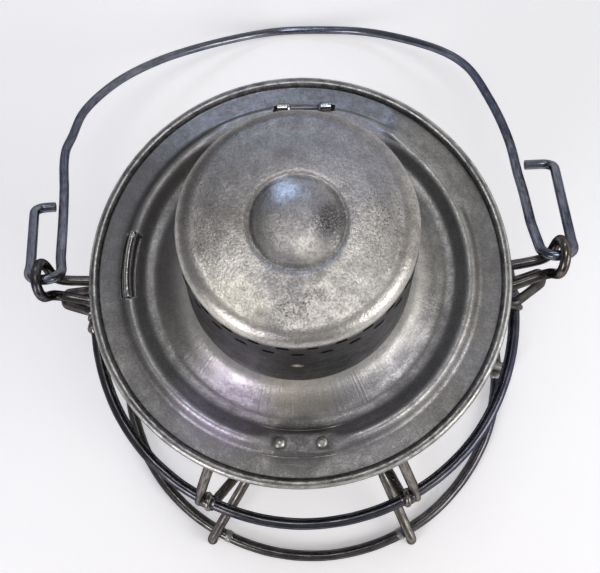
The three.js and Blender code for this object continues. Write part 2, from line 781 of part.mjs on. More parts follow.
function domeOutline() {
  const foot = panHeight(1) + clearance;
  const shoulder = domeTop - domeShoulder;
  const bend = domeShoulder - domeCrown;
  const outer = [[domeRadius, foot], [domeRadius, shoulder]];
  for (let step = 1; step <= domeSteps; step += 1) {
    const turn = (step * Math.PI) / (2 * domeSteps);
    outer.push([domeRadius - bend * (1 - Math.cos(turn)), shoulder + bend * Math.sin(turn)]);
  }
  const groove = [[bossRadius + 4 * bossGroove, domeTop], [bossRadius + bossGroove, domeTop - bossGroove]];
  const boss = bossShares.map(([out, up]) => [bossRadius * out, domeTop + bossRise * up]);
  const inner = [
    [0, domeTop + bossRise - sheet], [bossRadius, domeTop - bossGroove - sheet],
    [domeRadius - bend, domeTop - domeCrown - sheet],
    [domeRadius - bend / 3 - sheet, shoulder + 2 * bend / 3 - sheet],
    [domeRadius - sheet, shoulder], [domeRadius - sheet, foot],
  ];
  return [...outer, ...groove, ...boss, ...inner];
}

function addDome() {
  const points = domeOutline().map(([radius, height]) => new THREE.Vector2(radius, height));
  const shell = closeOnAxis(points);
  const slots = [];
  ventShares.forEach((share, row) => {
    const height = domeTop - (1 - share) * domeRise;
    for (let i = 0; i < ventCount / 2; i += 1) {
      const slot = new THREE.BoxGeometry(2 * domeRadius + overrun, ventWidth, ventHeight);
      const turn = ((i + row / 2) * 2 * Math.PI) / ventCount + THREE.MathUtils.degToRad(ventTurn);
      slots.push(slot.rotateZ(turn).translate(0, 0, height));
    }
  });
  addPiece("smoke_dome", carve(shell, [], slots), materials.tinnedSteel);
}

// A cap-like shell: the outline meets the axis above and below its crown, and its foot edge closes it.
function closeOnAxis(points) {
  const closed = [...points, points[0].clone()];
  return new THREE.LatheGeometry(closed, ringSegments).rotateX(Math.PI / 2);
}

function addLidInside() {
  const baffleRadius = domeRadius - sheet - clearance;
  const baffleHeight = domeTop - baffleDrop;
  const baffle = [
    [baffleBore, baffleHeight + baffleRise], [baffleRadius, baffleHeight],
    [baffleRadius, baffleHeight + sheet], [baffleBore, baffleHeight + baffleRise + sheet],
  ];
  addPiece("draft_baffle", turned(baffle, turnedSegments), materials.tinnedSteel);
  const inside = globeNeckRadius + retainerGap;
  const bottom = collarTop - retainerDrop;
  const flangeHeight = panHeight(beadFootShare) - sheet - clearance;
  const flange = panRadius(retainerFlangeShare);
  const retainer = [
    [inside, bottom], [inside + sheet, bottom],
    [inside + sheet, flangeHeight - sheet], [flange, flangeHeight - sheet],
    [flange, flangeHeight], [inside, flangeHeight],
  ];
  addPiece("globe_retainer", turned(retainer, turnedSegments), materials.tinnedSteel);
}

// Hinge

function addHinge() {
  const wire = wireAlong(hingeLine(hingeHalfWidth), hingeWire);
  addPiece("hinge_wire", wire, materials.darkWire);
  const outer = knuckleBore + knuckleWall;
  const neckShare = 1.6; // of the knuckle's radius, down from its pivot to where its curl begins
  const wall = collarRadius + clearance;
  const leafBottom = hingeHeight - leafDrop;
  const profile = new THREE.Shape();
  profile.moveTo(wall, leafBottom);
  profile.lineTo(wall + knuckleWall, leafBottom);
  profile.lineTo(wall + knuckleWall, hingeHeight - 2 * outer);
  profile.lineTo(hingeRadius, hingeHeight - outer);
  for (let step = 1; step <= bendSections; step += 1) {
    const turn = -Math.PI / 2 + (step * Math.PI) / bendSections;
    profile.lineTo(hingeRadius + outer * Math.cos(turn), hingeHeight + outer * Math.sin(turn));
  }
  profile.lineTo(hingeRadius - outer, hingeHeight);
  profile.lineTo(wall, hingeHeight - neckShare * outer);
  const hole = new THREE.Path();
  hole.absarc(hingeRadius, hingeHeight, knuckleBore, 0, 2 * Math.PI, true);
  profile.holes.push(hole);
  const leaf = new THREE.ExtrudeGeometry(profile, {
    depth: 2 * knuckleHalfWidth, bevelEnabled: false, curveSegments: 5,
  });
  leaf.translate(0, 0, -knuckleHalfWidth);
  leaf.applyMatrix4(new THREE.Matrix4().makeBasis(
    new THREE.Vector3(0, 1, 0), new THREE.Vector3(0, 0, 1), new THREE.Vector3(1, 0, 0),
  ));
  addPiece("hinge_leaf", leaf.translate(hingeAside, 0, 0), materials.springSteel);
}

// Latch

function addLatch() {
  const underPad = padTop() - sheet - clearance;
  const plate = new THREE.BoxGeometry(latchWidth, latchPlateDepth, latchThickness);
  const edgeShares = [0.75, 0.7]; // a point of the head's rounding: radius and rise
  const holes = [];
  for (const [side, x, y] of rivetPlaces()) {
    const hole = rod(rivetShank + clearance, underPad - overrun, underPad + overrun, wireSides);
    holes.push(hole.translate(x, y, 0));
    const tail = underPad - latchThickness - clearance;
    const seat = padTop() + 2 * clearance;
    const rivet = turned([
      [0, tail - rivetShank], [rivetTail, tail - rivetShank], [rivetTail, tail],
      [rivetShank, tail], [rivetShank, seat], [rivetHead, seat],
      [rivetHead * edgeShares[0], seat + rivetDome * edgeShares[1]], [0, seat + rivetDome],
    ], rivetSides);
    addPiece(`latch_rivet_${side}`, rivet.translate(x, y, 0), materials.tinnedSteel);
  }
  plate.translate(rivetAside, -rivetPlace, underPad - latchThickness / 2);
  addPiece("latch_plate", carve(plate, [], holes), materials.springSteel);

  const top = underPad - latchThickness - 2 * clearance - rivetShank - latchThickness;
  const face = -collarRadius - clearance;
  const strip = new THREE.Shape();
  strip.moveTo(face, top - latchThickness);
  strip.lineTo(face, top - latchDrop);
  strip.lineTo(face - latchLip, top - latchDrop - latchLip);
  strip.lineTo(face - latchLip - latchThickness, top - latchDrop - latchLip);
  strip.lineTo(face - latchThickness, top - latchDrop);
  strip.lineTo(face - latchThickness, top - latchThickness);
  strip.lineTo(face - latchThickness - latchLip, top);
  strip.lineTo(face - latchLip, top + latchThickness / 2);
  const spring = new THREE.ExtrudeGeometry(strip, { depth: springWidth, bevelEnabled: false });
  spring.translate(0, 0, rivetAside - springWidth / 2);
  spring.applyMatrix4(new THREE.Matrix4().makeBasis(
    new THREE.Vector3(0, 1, 0), new THREE.Vector3(0, 0, 1), new THREE.Vector3(1, 0, 0),
  ));
  addPiece("latch_spring", spring, materials.springSteel);
}

// Fount and burner

function addTank() {
  const bottom = standGap;
  const inside = tankRadius - sheet;
  const corner = tankRadius - tankCorner;
  const slopeFoot = neckRadius + tankSlopeRun;
  const shoulder = tankShoulderHeight + tankShoulder;
  const outline = [
    [0, bottom], [corner, bottom], [tankRadius, bottom + tankCorner], [tankRadius, tankShoulderHeight],
    [tankRadius - tankShoulder, shoulder], [slopeFoot, tankTop], [neckRadius, tankTop + sheet],
    [neckRadius, neckTop], [neckRadius - sheet, neckTop], [neckRadius - sheet, tankTop],
    [slopeFoot - sheet, tankTop - sheet], [inside - tankShoulder, shoulder - sheet],
    [inside, tankShoulderHeight], [inside, bottom + tankCorner + sheet],
    [inside - tankCorner, bottom + sheet], [0, bottom + sheet],
  ];
  const points = outline.map(([radius, height]) => new THREE.Vector2(radius, height));
  const tank = new THREE.LatheGeometry([...points, points[0].clone()], turnedSegments).rotateX(Math.PI / 2);
  const lugs = [];
  const reach = wellRadius + lugReach;
  for (let i = 0; i < lugCount; i += 1) {
    const lug = rod(lugRadius, inside + sheet / 4, reach, boreSides).rotateY(Math.PI / 2);
    lugs.push(lug.rotateZ(THREE.MathUtils.degToRad(lugAngle(i))).translate(0, 0, lugHeight));
  }
  addPiece("fount_tank", carve(tank, lugs, []), materials.tinnedSteel);
}

function addBurner() {
  const ringInner = neckRadius + clearance;
  const ringTop = neckTop + sheet;
  const ring = tubeBand(ringInner + burnerRingWidth, ringInner, tankTop + 2 * sheet, ringTop, smallSegments);
  addPiece("burner_collar", ring, materials.brass);

  const foot = ringTop + clearance;
  const slope = burnerTop - burnerSlope;
  const cap = turned([
    [ringInner + burnerRingWidth, foot], [ringInner + burnerRingWidth, foot + sheet],
    [burnerRadius, foot + sheet], [burnerRadius, slope], [burnerTopRadius + sheet, burnerTop],
    [burnerTopRadius, burnerTop], [burnerTopRadius, burnerTop - sheet],
    [burnerRadius - sheet, slope - sheet], [burnerRadius - sheet, foot],
  ], smallSegments);
  const shaftHole = rod(shaftRadius + clearance, 0, burnerRadius + overrun, boreSides).rotateX(Math.PI / 2);
  shaftHole.translate(shaftOffset, 0, shaftHeight);
  addPiece("burner_cap", carve(cap, [], [shaftHole]), materials.brass);

  const tubeWidth = wickWidth + 2 * (clearance + tubeWall);
  const tubeDepth = wickThickness + 2 * (clearance + tubeWall);
  const middle = (tubeTop + tubeBottom) / 2;
  const tube = new THREE.BoxGeometry(tubeDepth, tubeWidth, tubeTop - tubeBottom).translate(0, 0, middle);
  const bore = new THREE.BoxGeometry(
    tubeDepth - 2 * tubeWall, tubeWidth - 2 * tubeWall, tubeTop - tubeBottom + overrun,
  ).translate(0, 0, middle);
  const windowSize = 2 * (wheelRadius + clearance);
  const opening = new THREE.BoxGeometry(
    tubeDepth, wheelSpacing + wheelThickness + 2 * clearance, windowSize,
  ).translate(tubeDepth / 2, 0, shaftHeight);
  addPiece("wick_tube", carve(tube, [], [bore, opening]), materials.brass);

  const wickTop = tubeTop + wickProud;
  const wick = new THREE.BoxGeometry(wickThickness, wickWidth, wickTop - wickBottom);
  addPiece("wick", wick.translate(0, 0, (wickTop + wickBottom) / 2), materials.cotton);
}

function toothedDisc(radius, rootShare, teeth, thickness, boreRadius) {
  const outline = [];
  for (let i = 0; i < 2 * teeth; i += 1) {
    const reach = i % 2 ? radius * rootShare : radius;
    const turn = (i * Math.PI) / teeth;
    outline.push(new THREE.Vector2(reach * Math.cos(turn), reach * Math.sin(turn)));
  }
  const disc = new THREE.Shape(outline);
  const hole = new THREE.Path();
  hole.absarc(0, 0, boreRadius, 0, 2 * Math.PI, true);
  disc.holes.push(hole);
  const solid = new THREE.ExtrudeGeometry(disc, { depth: thickness, bevelEnabled: false, curveSegments: 5 });
  return solid.translate(0, 0, -thickness / 2).rotateX(Math.PI / 2);
}

function addWickRaiser() {
  const inner = wheelSpacing / 2 + wheelThickness;
  const shaft = rod(shaftRadius, -inner, shaftEnd, boreSides).rotateX(Math.PI / 2);
  addPiece("raiser_shaft", shaft.translate(shaftOffset, 0, shaftHeight), materials.brass);
  const bore = shaftRadius + clearance;
  [-1, 1].forEach((side) => {
    const wheel = toothedDisc(wheelRadius, wheelRootShare, wheelTeeth, wheelThickness, bore);
    const name = side < 0 ? "raiser_wheel_front" : "raiser_wheel_rear";
    addPiece(name, wheel.translate(shaftOffset, (side * wheelSpacing) / 2, shaftHeight), materials.brass);
  });
  const knob = toothedDisc(knobRadius, knobRootShare, knobRidges, knobThickness, bore);
  const knobPlace = -(wellRadius + knobStand + knobThickness / 2);
  addPiece("raiser_knob", knob.translate(shaftOffset, knobPlace, shaftHeight), materials.brass);
}

addGuard();
addCollar();
addWell();
addSeat();
addGlobe();
addEars();
addBail();
addLidPan();
addDome();
addLidInside();
addHinge();
addLatch();
addTank();
addBurner();
addWickRaiser();

const root = new THREE.Group();
root.add(lantern);

export default root;
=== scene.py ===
from math import acos, asin, atan2, cos, degrees, exp, hypot, pi, radians, sin, sqrt, tan, tau

import bmesh
import bpy
import numpy as np
from mathutils import Matrix, Vector, noise


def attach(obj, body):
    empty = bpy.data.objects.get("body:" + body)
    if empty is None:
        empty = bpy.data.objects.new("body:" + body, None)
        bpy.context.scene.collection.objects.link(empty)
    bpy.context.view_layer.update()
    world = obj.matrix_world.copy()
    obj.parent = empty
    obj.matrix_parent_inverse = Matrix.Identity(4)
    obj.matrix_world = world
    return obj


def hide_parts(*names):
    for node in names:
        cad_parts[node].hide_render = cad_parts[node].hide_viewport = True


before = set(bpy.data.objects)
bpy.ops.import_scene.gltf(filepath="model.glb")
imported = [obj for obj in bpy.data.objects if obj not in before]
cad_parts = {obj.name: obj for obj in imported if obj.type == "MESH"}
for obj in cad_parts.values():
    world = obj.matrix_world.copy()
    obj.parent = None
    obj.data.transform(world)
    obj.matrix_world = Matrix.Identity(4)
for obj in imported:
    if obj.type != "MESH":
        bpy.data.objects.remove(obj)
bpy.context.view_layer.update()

# Lengths are in millimetres and heights are above the floor; shaders, lamps, floor and camera use metres.
mm = 0.001
standGap = 6  # the frame's zero lies this far above the floor
clearance = 0.3
sheet = 0.8  # thickness of the pressed sheet


def report(stage):
    print("lantern:", stage, flush=True)


# Shader helpers

def addNode(tree, kind, values=None, links=None, **settings):
    made = tree.nodes.new(kind)
    for key, value in settings.items():
        setattr(made, key, value)
    for key, value in (values or {}).items():
        made.inputs[key].default_value = value
    for key, source in (links or {}).items():
        tree.links.new(source, made.inputs[key])
    return made


def calc(tree, operation, first, second=0.0, clamp=False):
    made = addNode(tree, "ShaderNodeMath", operation=operation, use_clamp=clamp)
    for index, value in enumerate((first, second)):
        if isinstance(value, (int, float)):
            made.inputs[index].default_value = value
        else:
            tree.links.new(value, made.inputs[index])
    return made.outputs[0]


def times(tree, first, second, clamp=False):
    return calc(tree, "MULTIPLY", first, second, clamp)


def plus(tree, first, second):
    return calc(tree, "ADD", first, second)


def minus(tree, first, second, clamp=False):
    return calc(tree, "SUBTRACT", first, second, clamp)


def span(tree, value, low, high, outLow=0.0, outHigh=1.0):
    made = addNode(tree, "ShaderNodeMapRange", interpolation_type="SMOOTHSTEP", links={0: value})
    for index, setting in zip((1, 2, 3, 4), (low, high, outLow, outHigh)):
        if isinstance(setting, (int, float)):
            made.inputs[index].default_value = setting
        else:
            tree.links.new(setting, made.inputs[index])
    return made.outputs[0]


def blend(tree, share, first, second):
    made = addNode(tree, "ShaderNodeMix", data_type="RGBA", clamp_factor=True)
    for index, value in zip((0, 6, 7), (share, first, second)):
        if hasattr(value, "is_output"):
            tree.links.new(value, made.inputs[index])
        else:
            made.inputs[index].default_value = value
    return made.outputs[2]


def cloud(tree, place, scale, detail, rough=0.55, warp=0.0):
    made = addNode(tree, "ShaderNodeTexNoise", links={"Vector": place})
    for key, value in (("Scale", scale), ("Detail", detail), ("Roughness", rough), ("Distortion", warp)):
        if isinstance(value, (int, float)):
            made.inputs[key].default_value = value
        else:
            tree.links.new(value, made.inputs[key])
    return made.outputs["Fac"]


def stretched(tree, place, scale, turn=(0, 0, 0)):
    mapping = addNode(tree, "ShaderNodeMapping", {"Scale": scale, "Rotation": turn}, {"Vector": place})
    return mapping.outputs["Vector"]


def newGroup(name, inputs, outputs):
    group = bpy.data.node_groups.new(name, "ShaderNodeTree")
    for label, kind, value in inputs:
        socket = group.interface.new_socket(name=label, in_out="INPUT", socket_type="NodeSocket" + kind)
        if value is not None:
            socket.default_value = value
    for label, kind in outputs:
        group.interface.new_socket(name=label, in_out="OUTPUT", socket_type="NodeSocket" + kind)
    return group, group.nodes.new("NodeGroupInput").outputs, group.nodes.new("NodeGroupOutput").inputs


def useGroup(tree, group, values, links):
    return addNode(tree, "ShaderNodeGroup", values, links, node_tree=group).outputs


# Effects shared by the finishes

def makePatina():
    group, given, result = newGroup("patina", [
        ("Place", "Vector", None), ("Scale", "Float", 30.0), ("Light", "Color", (0.5, 0.5, 0.5, 1)),
        ("Dark", "Color", (0.2, 0.2, 0.2, 1)), ("Tint", "Color", (0.4, 0.42, 0.5, 1)),
        ("Tint Share", "Float", 0.3), ("Speckle", "Float", 0.4),
    ], [("Color", "Color"), ("Mask", "Float")])
    fineness, dotScale = 7.0, 1500.0
    broad = cloud(group, given["Place"], given["Scale"], 3.0, 0.5, 0.6)
    fine = cloud(group, given["Place"], times(group, given["Scale"], fineness), 6.0, 0.65)
    dots = cloud(group, given["Place"], dotScale, 3.0, 0.65)
    smooth = plus(group, times(group, broad, 0.5), times(group, fine, 0.5))
    mixed = addNode(group, "ShaderNodeMix", data_type="FLOAT",
                    links={0: given["Speckle"], 2: smooth, 3: dots}).outputs[0]
    mask = span(group, mixed, 0.38, 0.62)
    shade = blend(group, mask, given["Dark"], given["Light"])
    tintPlace = stretched(group, given["Place"], (1, 1, 1), (0.4, 0.2, 1.1))
    tintCloud = cloud(group, tintPlace, times(group, given["Scale"], 0.7), 2.0)
    tintMask = span(group, tintCloud, 0.42, 0.66)
    tinted = blend(group, times(group, tintMask, given["Tint Share"]), shade, given["Tint"])
    group.links.new(tinted, result["Color"])
    group.links.new(mask, result["Mask"])
    return group


def makeScratches():
    group, given, result = newGroup("fineScratches", [
        ("Place", "Vector", None), ("Scale", "Float", 60.0), ("Amount", "Float", 0.5),
    ], [("Height", "Float"), ("Mask", "Float")])
    runs = [((0, 0, 0.5), 34.0), ((0.2, 0, 1.9), 26.0), ((0, 0.3, 2.8), 40.0), ((1.2, 0, 0.9), 30.0)]
    total = None
    for turn, stretch in runs:
        place = stretched(group, given["Place"], (1.0, stretch, 1.0), turn)
        line = span(group, cloud(group, place, given["Scale"], 2.0, 0.5), 0.66, 0.74)
        total = line if total is None else calc(group, "MAXIMUM", total, line)
    patches = cloud(group, given["Place"], times(group, given["Scale"], 0.4), 2.0)
    where = span(group, patches, 0.4, 0.6)
    mask = times(group, times(group, total, where), given["Amount"])
    group.links.new(mask, result["Mask"])
    group.links.new(times(group, mask, -1.0), result["Height"])
    return group


def makePitting():
    group, given, result = newGroup("pitting", [
        ("Place", "Vector", None), ("Scale", "Float", 900.0), ("Patches", "Float", 60.0),
        ("Amount", "Float", 0.5),
    ], [("Height", "Float"), ("Mask", "Float")])
    cells = addNode(group, "ShaderNodeTexVoronoi", feature="F1", links={"Vector": given["Place"]})
    group.links.new(given["Scale"], cells.inputs["Scale"])
    pit = span(group, cells.outputs["Distance"], 0.34, 0.1)
    patches = cloud(group, given["Place"], given["Patches"], 4.0, 0.6)
    start = minus(group, 0.72, times(group, given["Amount"], 0.3))
    where = span(group, patches, start, 0.78)
    mask = times(group, pit, where)
    group.links.new(mask, result["Mask"])
    group.links.new(times(group, mask, -1.0), result["Height"])
    return group


def makeEdgeWear():
    group, given, result = newGroup("edgeWear", [
        ("Place", "Vector", None), ("Scale", "Float", 150.0), ("Amount", "Float", 0.6),
    ], [("Mask", "Float")])
    edge = addNode(group, "ShaderNodeAttribute", attribute_name="edge").outputs["Fac"]
    broken = span(group, cloud(group, given["Place"], given["Scale"], 5.0, 0.7), 0.35, 0.62)
    mask = times(group, times(group, edge, broken), given["Amount"], True)
    group.links.new(mask, result["Mask"])
    return group


def makeGrime():
    group, given, result = newGroup("hollowGrime", [
        ("Place", "Vector", None), ("Scale", "Float", 90.0), ("Amount", "Float", 0.7),
    ], [("Mask", "Float")])
    hollow = addNode(group, "ShaderNodeAttribute", attribute_name="hollow").outputs["Fac"]
    deep = calc(group, "POWER", hollow, 2.5)
    broken = span(group, cloud(group, given["Place"], given["Scale"], 4.0, 0.6), 0.22, 0.6, 0.35, 1.0)
    mask = times(group, times(group, deep, broken), given["Amount"], True)
    group.links.new(mask, result["Mask"])
    return group


def makeBrushing():
    # Strokes that run out from the axis, as from rubbing the lid clean.
    group, given, result = newGroup("brushStrokes", [
        ("Place", "Vector", None), ("Scale", "Float", 4.0), ("Amount", "Float", 0.5),
    ], [("Height", "Float")])
    parts = addNode(group, "ShaderNodeSeparateXYZ", links={0: given["Place"]}).outputs
    flat = addNode(group, "ShaderNodeCombineXYZ", links={0: parts[0], 1: parts[1]}).outputs[0]
    reach = addNode(group, "ShaderNodeVectorMath", operation="LENGTH", links={0: flat}).outputs["Value"]
    way = addNode(group, "ShaderNodeVectorMath", operation="NORMALIZE", links={0: flat}).outputs[0]
    sides = addNode(group, "ShaderNodeSeparateXYZ", links={0: way}).outputs
    alongStroke = 12.0  # across the strokes the clouds are far finer than along them
    height = times(group, plus(group, reach, parts[2]), alongStroke)
    line = addNode(group, "ShaderNodeCombineXYZ", links={0: sides[0], 1: sides[1], 2: height}).outputs[0]
    stroke = cloud(group, stretched(group, line, (14.0, 14.0, 1.0)), given["Scale"], 4.0, 0.65)
    group.links.new(times(group, stroke, given["Amount"]), result["Height"])
    return group


effects = {
    "patina": makePatina(), "scratches": makeScratches(), "pitting": makePitting(),
    "wear": makeEdgeWear(), "grime": makeGrime(), "brush": makeBrushing(),
}
report("shared effects built")


# Finishes

def startMaterial(name):
    material = bpy.data.materials.new(name)
    material.use_nodes = True
    tree = material.node_tree
    tree.nodes.clear()
    shader = tree.nodes.new("ShaderNodeBsdfPrincipled")
    output = tree.nodes.new("ShaderNodeOutputMaterial")
    tree.links.new(shader.outputs[0], output.inputs["Surface"])
    return material, tree, shader


def addBump(tree, shader, height, strength, distance):
    bump = addNode(tree, "ShaderNodeBump", {"Strength": strength, "Distance": distance}, {"Height": height})
    tree.links.new(bump.outputs["Normal"], shader.inputs["Normal"])


def zoned(tree, place, color, zones):
    # Lays a tone over a band round the axis, a range of heights or a spot, broken by a cloud.
    parts = addNode(tree, "ShaderNodeSeparateXYZ", links={0: place}).outputs
    flat = addNode(tree, "ShaderNodeCombineXYZ", links={0: parts[0], 1: parts[1]}).outputs[0]
    for zone in zones:
        if zone["of"] == "height":
            value = parts[2]
        elif zone["of"] == "spot":
            value = addNode(tree, "ShaderNodeVectorMath", {1: zone["at"]}, {0: place}, operation="DISTANCE")
            value = value.outputs["Value"]
        else:
            middle = (*zone.get("at", (0, 0)), 0)
            value = addNode(tree, "ShaderNodeVectorMath", {1: middle}, {0: flat}, operation="DISTANCE")
            value = value.outputs["Value"]
        ragged = minus(tree, cloud(tree, place, zone["scale"], 3.0), 0.5)
        value = plus(tree, value, times(tree, ragged, zone.get("wave", 0.004)))
        rise, full, fall, end = zone["range"]
        inside = times(tree, span(tree, value, rise, full), span(tree, value, end, fall))
        fine = cloud(tree, place, zone["scale"] * zone.get("finer", 4), 6.0, 0.7)
        broken = span(tree, fine, 0.38, 0.58, zone.get("least", 0.55), 1.0)
        mask = times(tree, times(tree, inside, broken), zone["share"])
        color = blend(tree, mask, color, zone["tone"])
    return color


whole = (-1, -0.9)  # the start of a range that has no inner end


def spot(at, full, end, tone, share, scale, **more):
    # A round spot that fades out between two reaches from its middle.
    reach = (*whole, full, end)
    return {"of": "spot", "at": at, "range": reach, "tone": tone, "share": share, "scale": scale, **more}


def band(reach, tone, share, scale, **more):
    # A band round the axis: where it starts, is full, fades and ends.
    return {"of": "reach", "range": reach, "tone": tone, "share": share, "scale": scale, **more}


layering = {
    "pitShade": 0.85, "pitRough": 0.3, "pitDull": 0.5, "grimeRough": 0.3, "grimeDull": 0.45,
    "wearSmooth": 0.12, "scratchDepth": 0.25, "pitPatches": 1.6, "relief": 0.00012,
}


def metalFinish(name, given):
    material, tree, shader = startMaterial(name)
    shader.inputs["Specular Tint"].default_value = given["sheen"]
    if given.get("along"):
        place = addNode(tree, "ShaderNodeAttribute", attribute_name="wireSpace").outputs["Vector"]
        grainPlace = stretched(tree, place, (1, 1, 0.12))
    else:
        place = addNode(tree, "ShaderNodeTexCoord").outputs["Object"]
        grainPlace = place
    patina = useGroup(tree, effects["patina"], {
        "Scale": given["patches"], "Light": given["light"], "Dark": given["dark"], "Tint": given["tint"],
        "Tint Share": given["tintShare"], "Speckle": given["speckle"],
    }, {"Place": grainPlace})
    wear = useGroup(tree, effects["wear"], {"Amount": given["wear"]}, {"Place": place})["Mask"]
    grime = useGroup(tree, effects["grime"], {"Amount": given["grime"]}, {"Place": place})["Mask"]
    patches = given["patches"] * layering["pitPatches"]
    pits = useGroup(tree, effects["pitting"], {"Amount": given["pits"], "Patches": patches}, {"Place": place})
    scratches = useGroup(tree, effects["scratches"], {"Amount": given["scratches"]}, {"Place": grainPlace})
    color = zoned(tree, place, patina["Color"], given.get("zones", ()))
    color = blend(tree, scratches["Mask"], color, given["bright"])
    color = blend(tree, times(tree, pits["Mask"], layering["pitShade"]), color, given["rust"])
    color = blend(tree, grime, color, given["dirt"])
    color = blend(tree, wear, color, given["bright"])
    tree.links.new(color, shader.inputs["Base Color"])
    rough = span(tree, patina["Mask"], 0.0, 1.0, given["roughHigh"], given["roughLow"])
    rough = plus(tree, rough, times(tree, grime, layering["grimeRough"]))
    rough = plus(tree, rough, times(tree, pits["Mask"], layering["pitRough"]))
    rough = minus(tree, rough, times(tree, wear, layering["wearSmooth"]), True)
    tree.links.new(rough, shader.inputs["Roughness"])
    metal = minus(tree, given["metal"], times(tree, grime, layering["grimeDull"]))
    metal = minus(tree, metal, times(tree, pits["Mask"], layering["pitDull"]), True)
    tree.links.new(metal, shader.inputs["Metallic"])
    height = plus(tree, times(tree, scratches["Height"], layering["scratchDepth"]), pits["Height"])
    grain = cloud(tree, grainPlace, given["grainScale"], 5.0, 0.6)
    height = plus(tree, height, times(tree, grain, given["grain"]))
    if given["brush"]:
        strokes = useGroup(tree, effects["brush"], {"Amount": given["brush"]}, {"Place": place})["Height"]
        height = plus(tree, height, strokes)
    addBump(tree, shader, height, given["bump"], layering["relief"])
    return material


steelBase = {
    "light": (0.46, 0.45, 0.435, 1), "dark": (0.19, 0.183, 0.173, 1), "tint": (0.3, 0.3, 0.37, 1),
    "tintShare": 0.35, "speckle": 0.35, "bright": (0.85, 0.83, 0.79, 1), "dirt": (0.012, 0.012, 0.013, 1),
    "rust": (0.05, 0.042, 0.035, 1), "patches": 26.0, "wear": 0.6, "grime": 1.0, "pits": 0.45,
    "scratches": 0.08, "roughLow": 0.27, "roughHigh": 0.42, "metal": 0.97, "grain": 1.4,
    "grainScale": 1100.0, "bump": 0.55, "brush": 0.0, "sheen": (0.8, 0.8, 0.8, 1),
}
wireBase = {
    "light": (0.1, 0.102, 0.118, 1), "dark": (0.022, 0.023, 0.028, 1), "tint": (0.06, 0.065, 0.12, 1),
    "tintShare": 0.45, "speckle": 0.35, "bright": (0.42, 0.4, 0.38, 1), "dirt": (0.008, 0.008, 0.009, 1),
    "rust": (0.04, 0.03, 0.025, 1), "patches": 60.0, "wear": 0.35, "grime": 0.7, "pits": 0.6,
    "scratches": 0.4, "roughLow": 0.16, "roughHigh": 0.3, "metal": 0.94, "grain": 1.0,
    "grainScale": 900.0, "bump": 0.5, "along": True, "brush": 0.0, "sheen": (0.25, 0.25, 0.28, 1),
}
bareSteel = (0.75, 0.73, 0.69, 1)
# near black: soot round the rivet heads together with the painted shadow under them
sootAndShadowBlack = (0.02, 0.02, 0.02, 1)
lidZones = [
    spot((-0.045, 0.02, 0.186), 0.02, 0.05, (0.2, 0.185, 0.165, 1), 0.5, 60, least=0.6),
    band((*whole, 0.041, 0.0465), (0.58, 0.56, 0.53, 1), 0.6, 60),
    # painted highlight: a warm pale spot for the glare on the front slope by the neck
    spot((0.0, -0.0425, 0.188), 0.004, 0.017, (0.66, 0.61, 0.47, 1), 0.45, 130, finer=9, least=0.3),
    # painted reflection: a lilac patch at the front left of the channel, for the surroundings seen in the
    # metal
    spot((-0.028, -0.047, 0.184), 0.006, 0.024, (0.5, 0.45, 0.6, 1), 0.6, 90, least=0.5),
    # painted shade: a darker ring over the channel, where its inner flank faces away from the light
    band((0.0475, 0.05, 0.0575, 0.059), (0.13, 0.125, 0.122, 1), 0.4, 40),
    # painted shade: the flattened front pad is darkened so that it does not show the bright reflection of the
    # light above
    spot((-0.0005, -0.0605, 0.186), 0.009, 0.0135, (0.09, 0.086, 0.09, 1), 0.85, 110, least=0.85),
    # soot and painted shadow round the two rivet heads
    spot((-0.0076, -0.0589, 0.186), 0.003, 0.0046, sootAndShadowBlack, 0.85, 300, wave=0.001),
    spot((0.0067, -0.0599, 0.186), 0.003, 0.0046, sootAndShadowBlack, 0.85, 300, wave=0.001),
    band((0.0625, 0.064, 0.0705, 0.0715), (0.16, 0.158, 0.155, 1), 0.5, 90, least=0.3),
    band((0.0711, 0.0714, 0.09, 0.1), (0.06, 0.06, 0.064, 1), 0.85, 120, least=0.5, wave=0.001),
    band((0.0724, 0.0726, 0.0729, 0.0731), bareSteel, 0.8, 80, least=0.15, wave=0.0003),
    band((0.0739, 0.0741, 0.0746, 0.0748), bareSteel, 0.75, 60, least=0.15, wave=0.0004),
]
domeZones = [
    spot((-0.018, 0.02, 0.252), 0.012, 0.032, (0.15, 0.138, 0.125, 1), 0.55, 70, least=0.6),
    # painted highlights: two pale warm spots on the front of the top plate, for reflections of the light
    spot((-0.019, -0.026, 0.252), 0.004, 0.016, (0.85, 0.82, 0.7, 1), 0.6, 90, least=0.3),
    spot((0.022, -0.022, 0.252), 0.004, 0.018, (0.8, 0.78, 0.72, 1), 0.5, 90, least=0.3),
    # painted shade: a darker ring in the groove round the foot of the boss
    band((0.0132, 0.0142, 0.015, 0.0164), (0.1, 0.095, 0.09, 1), 0.6, 60, at=(0.0014, 0), least=0.2,
         wave=0.001),
    # painted highlights on the boss: a bluish one on its back slope for the reflected window, a warm one on
    # its front slope
    spot((-0.0025, 0.0105, 0.2545), 0.002, 0.0065, (0.8, 0.88, 1.0, 1), 0.75, 150, least=0.4, wave=0.002),
    spot((0.005, -0.0095, 0.2545), 0.002, 0.007, (0.9, 0.87, 0.78, 1), 0.6, 150, least=0.3, wave=0.002),
    band((*whole, 0.002, 0.0085), (0.04, 0.037, 0.033, 1), 0.8, 150, at=(0.0115, -0.0005), finer=11,
         least=0.0),
    # the wall below the shoulder is made near black: partly soot, partly painted shade
    {"of": "height", "range": (-0.1, -0.09, 0.2425, 0.2462), "tone": (0.035, 0.035, 0.042, 1), "share": 0.97,
     "scale": 30, "least": 0.88},
    # painted highlight: a small warm glint on the dent in the front of the wall
    spot((-0.0003, -0.0395, 0.2185), 0.001, 0.0026, (0.7, 0.66, 0.5, 1), 0.8, 300, least=0.2, wave=0.0012),
]


def finishFrom(base, name, **changes):
    return metalFinish(name, {**base, **changes})


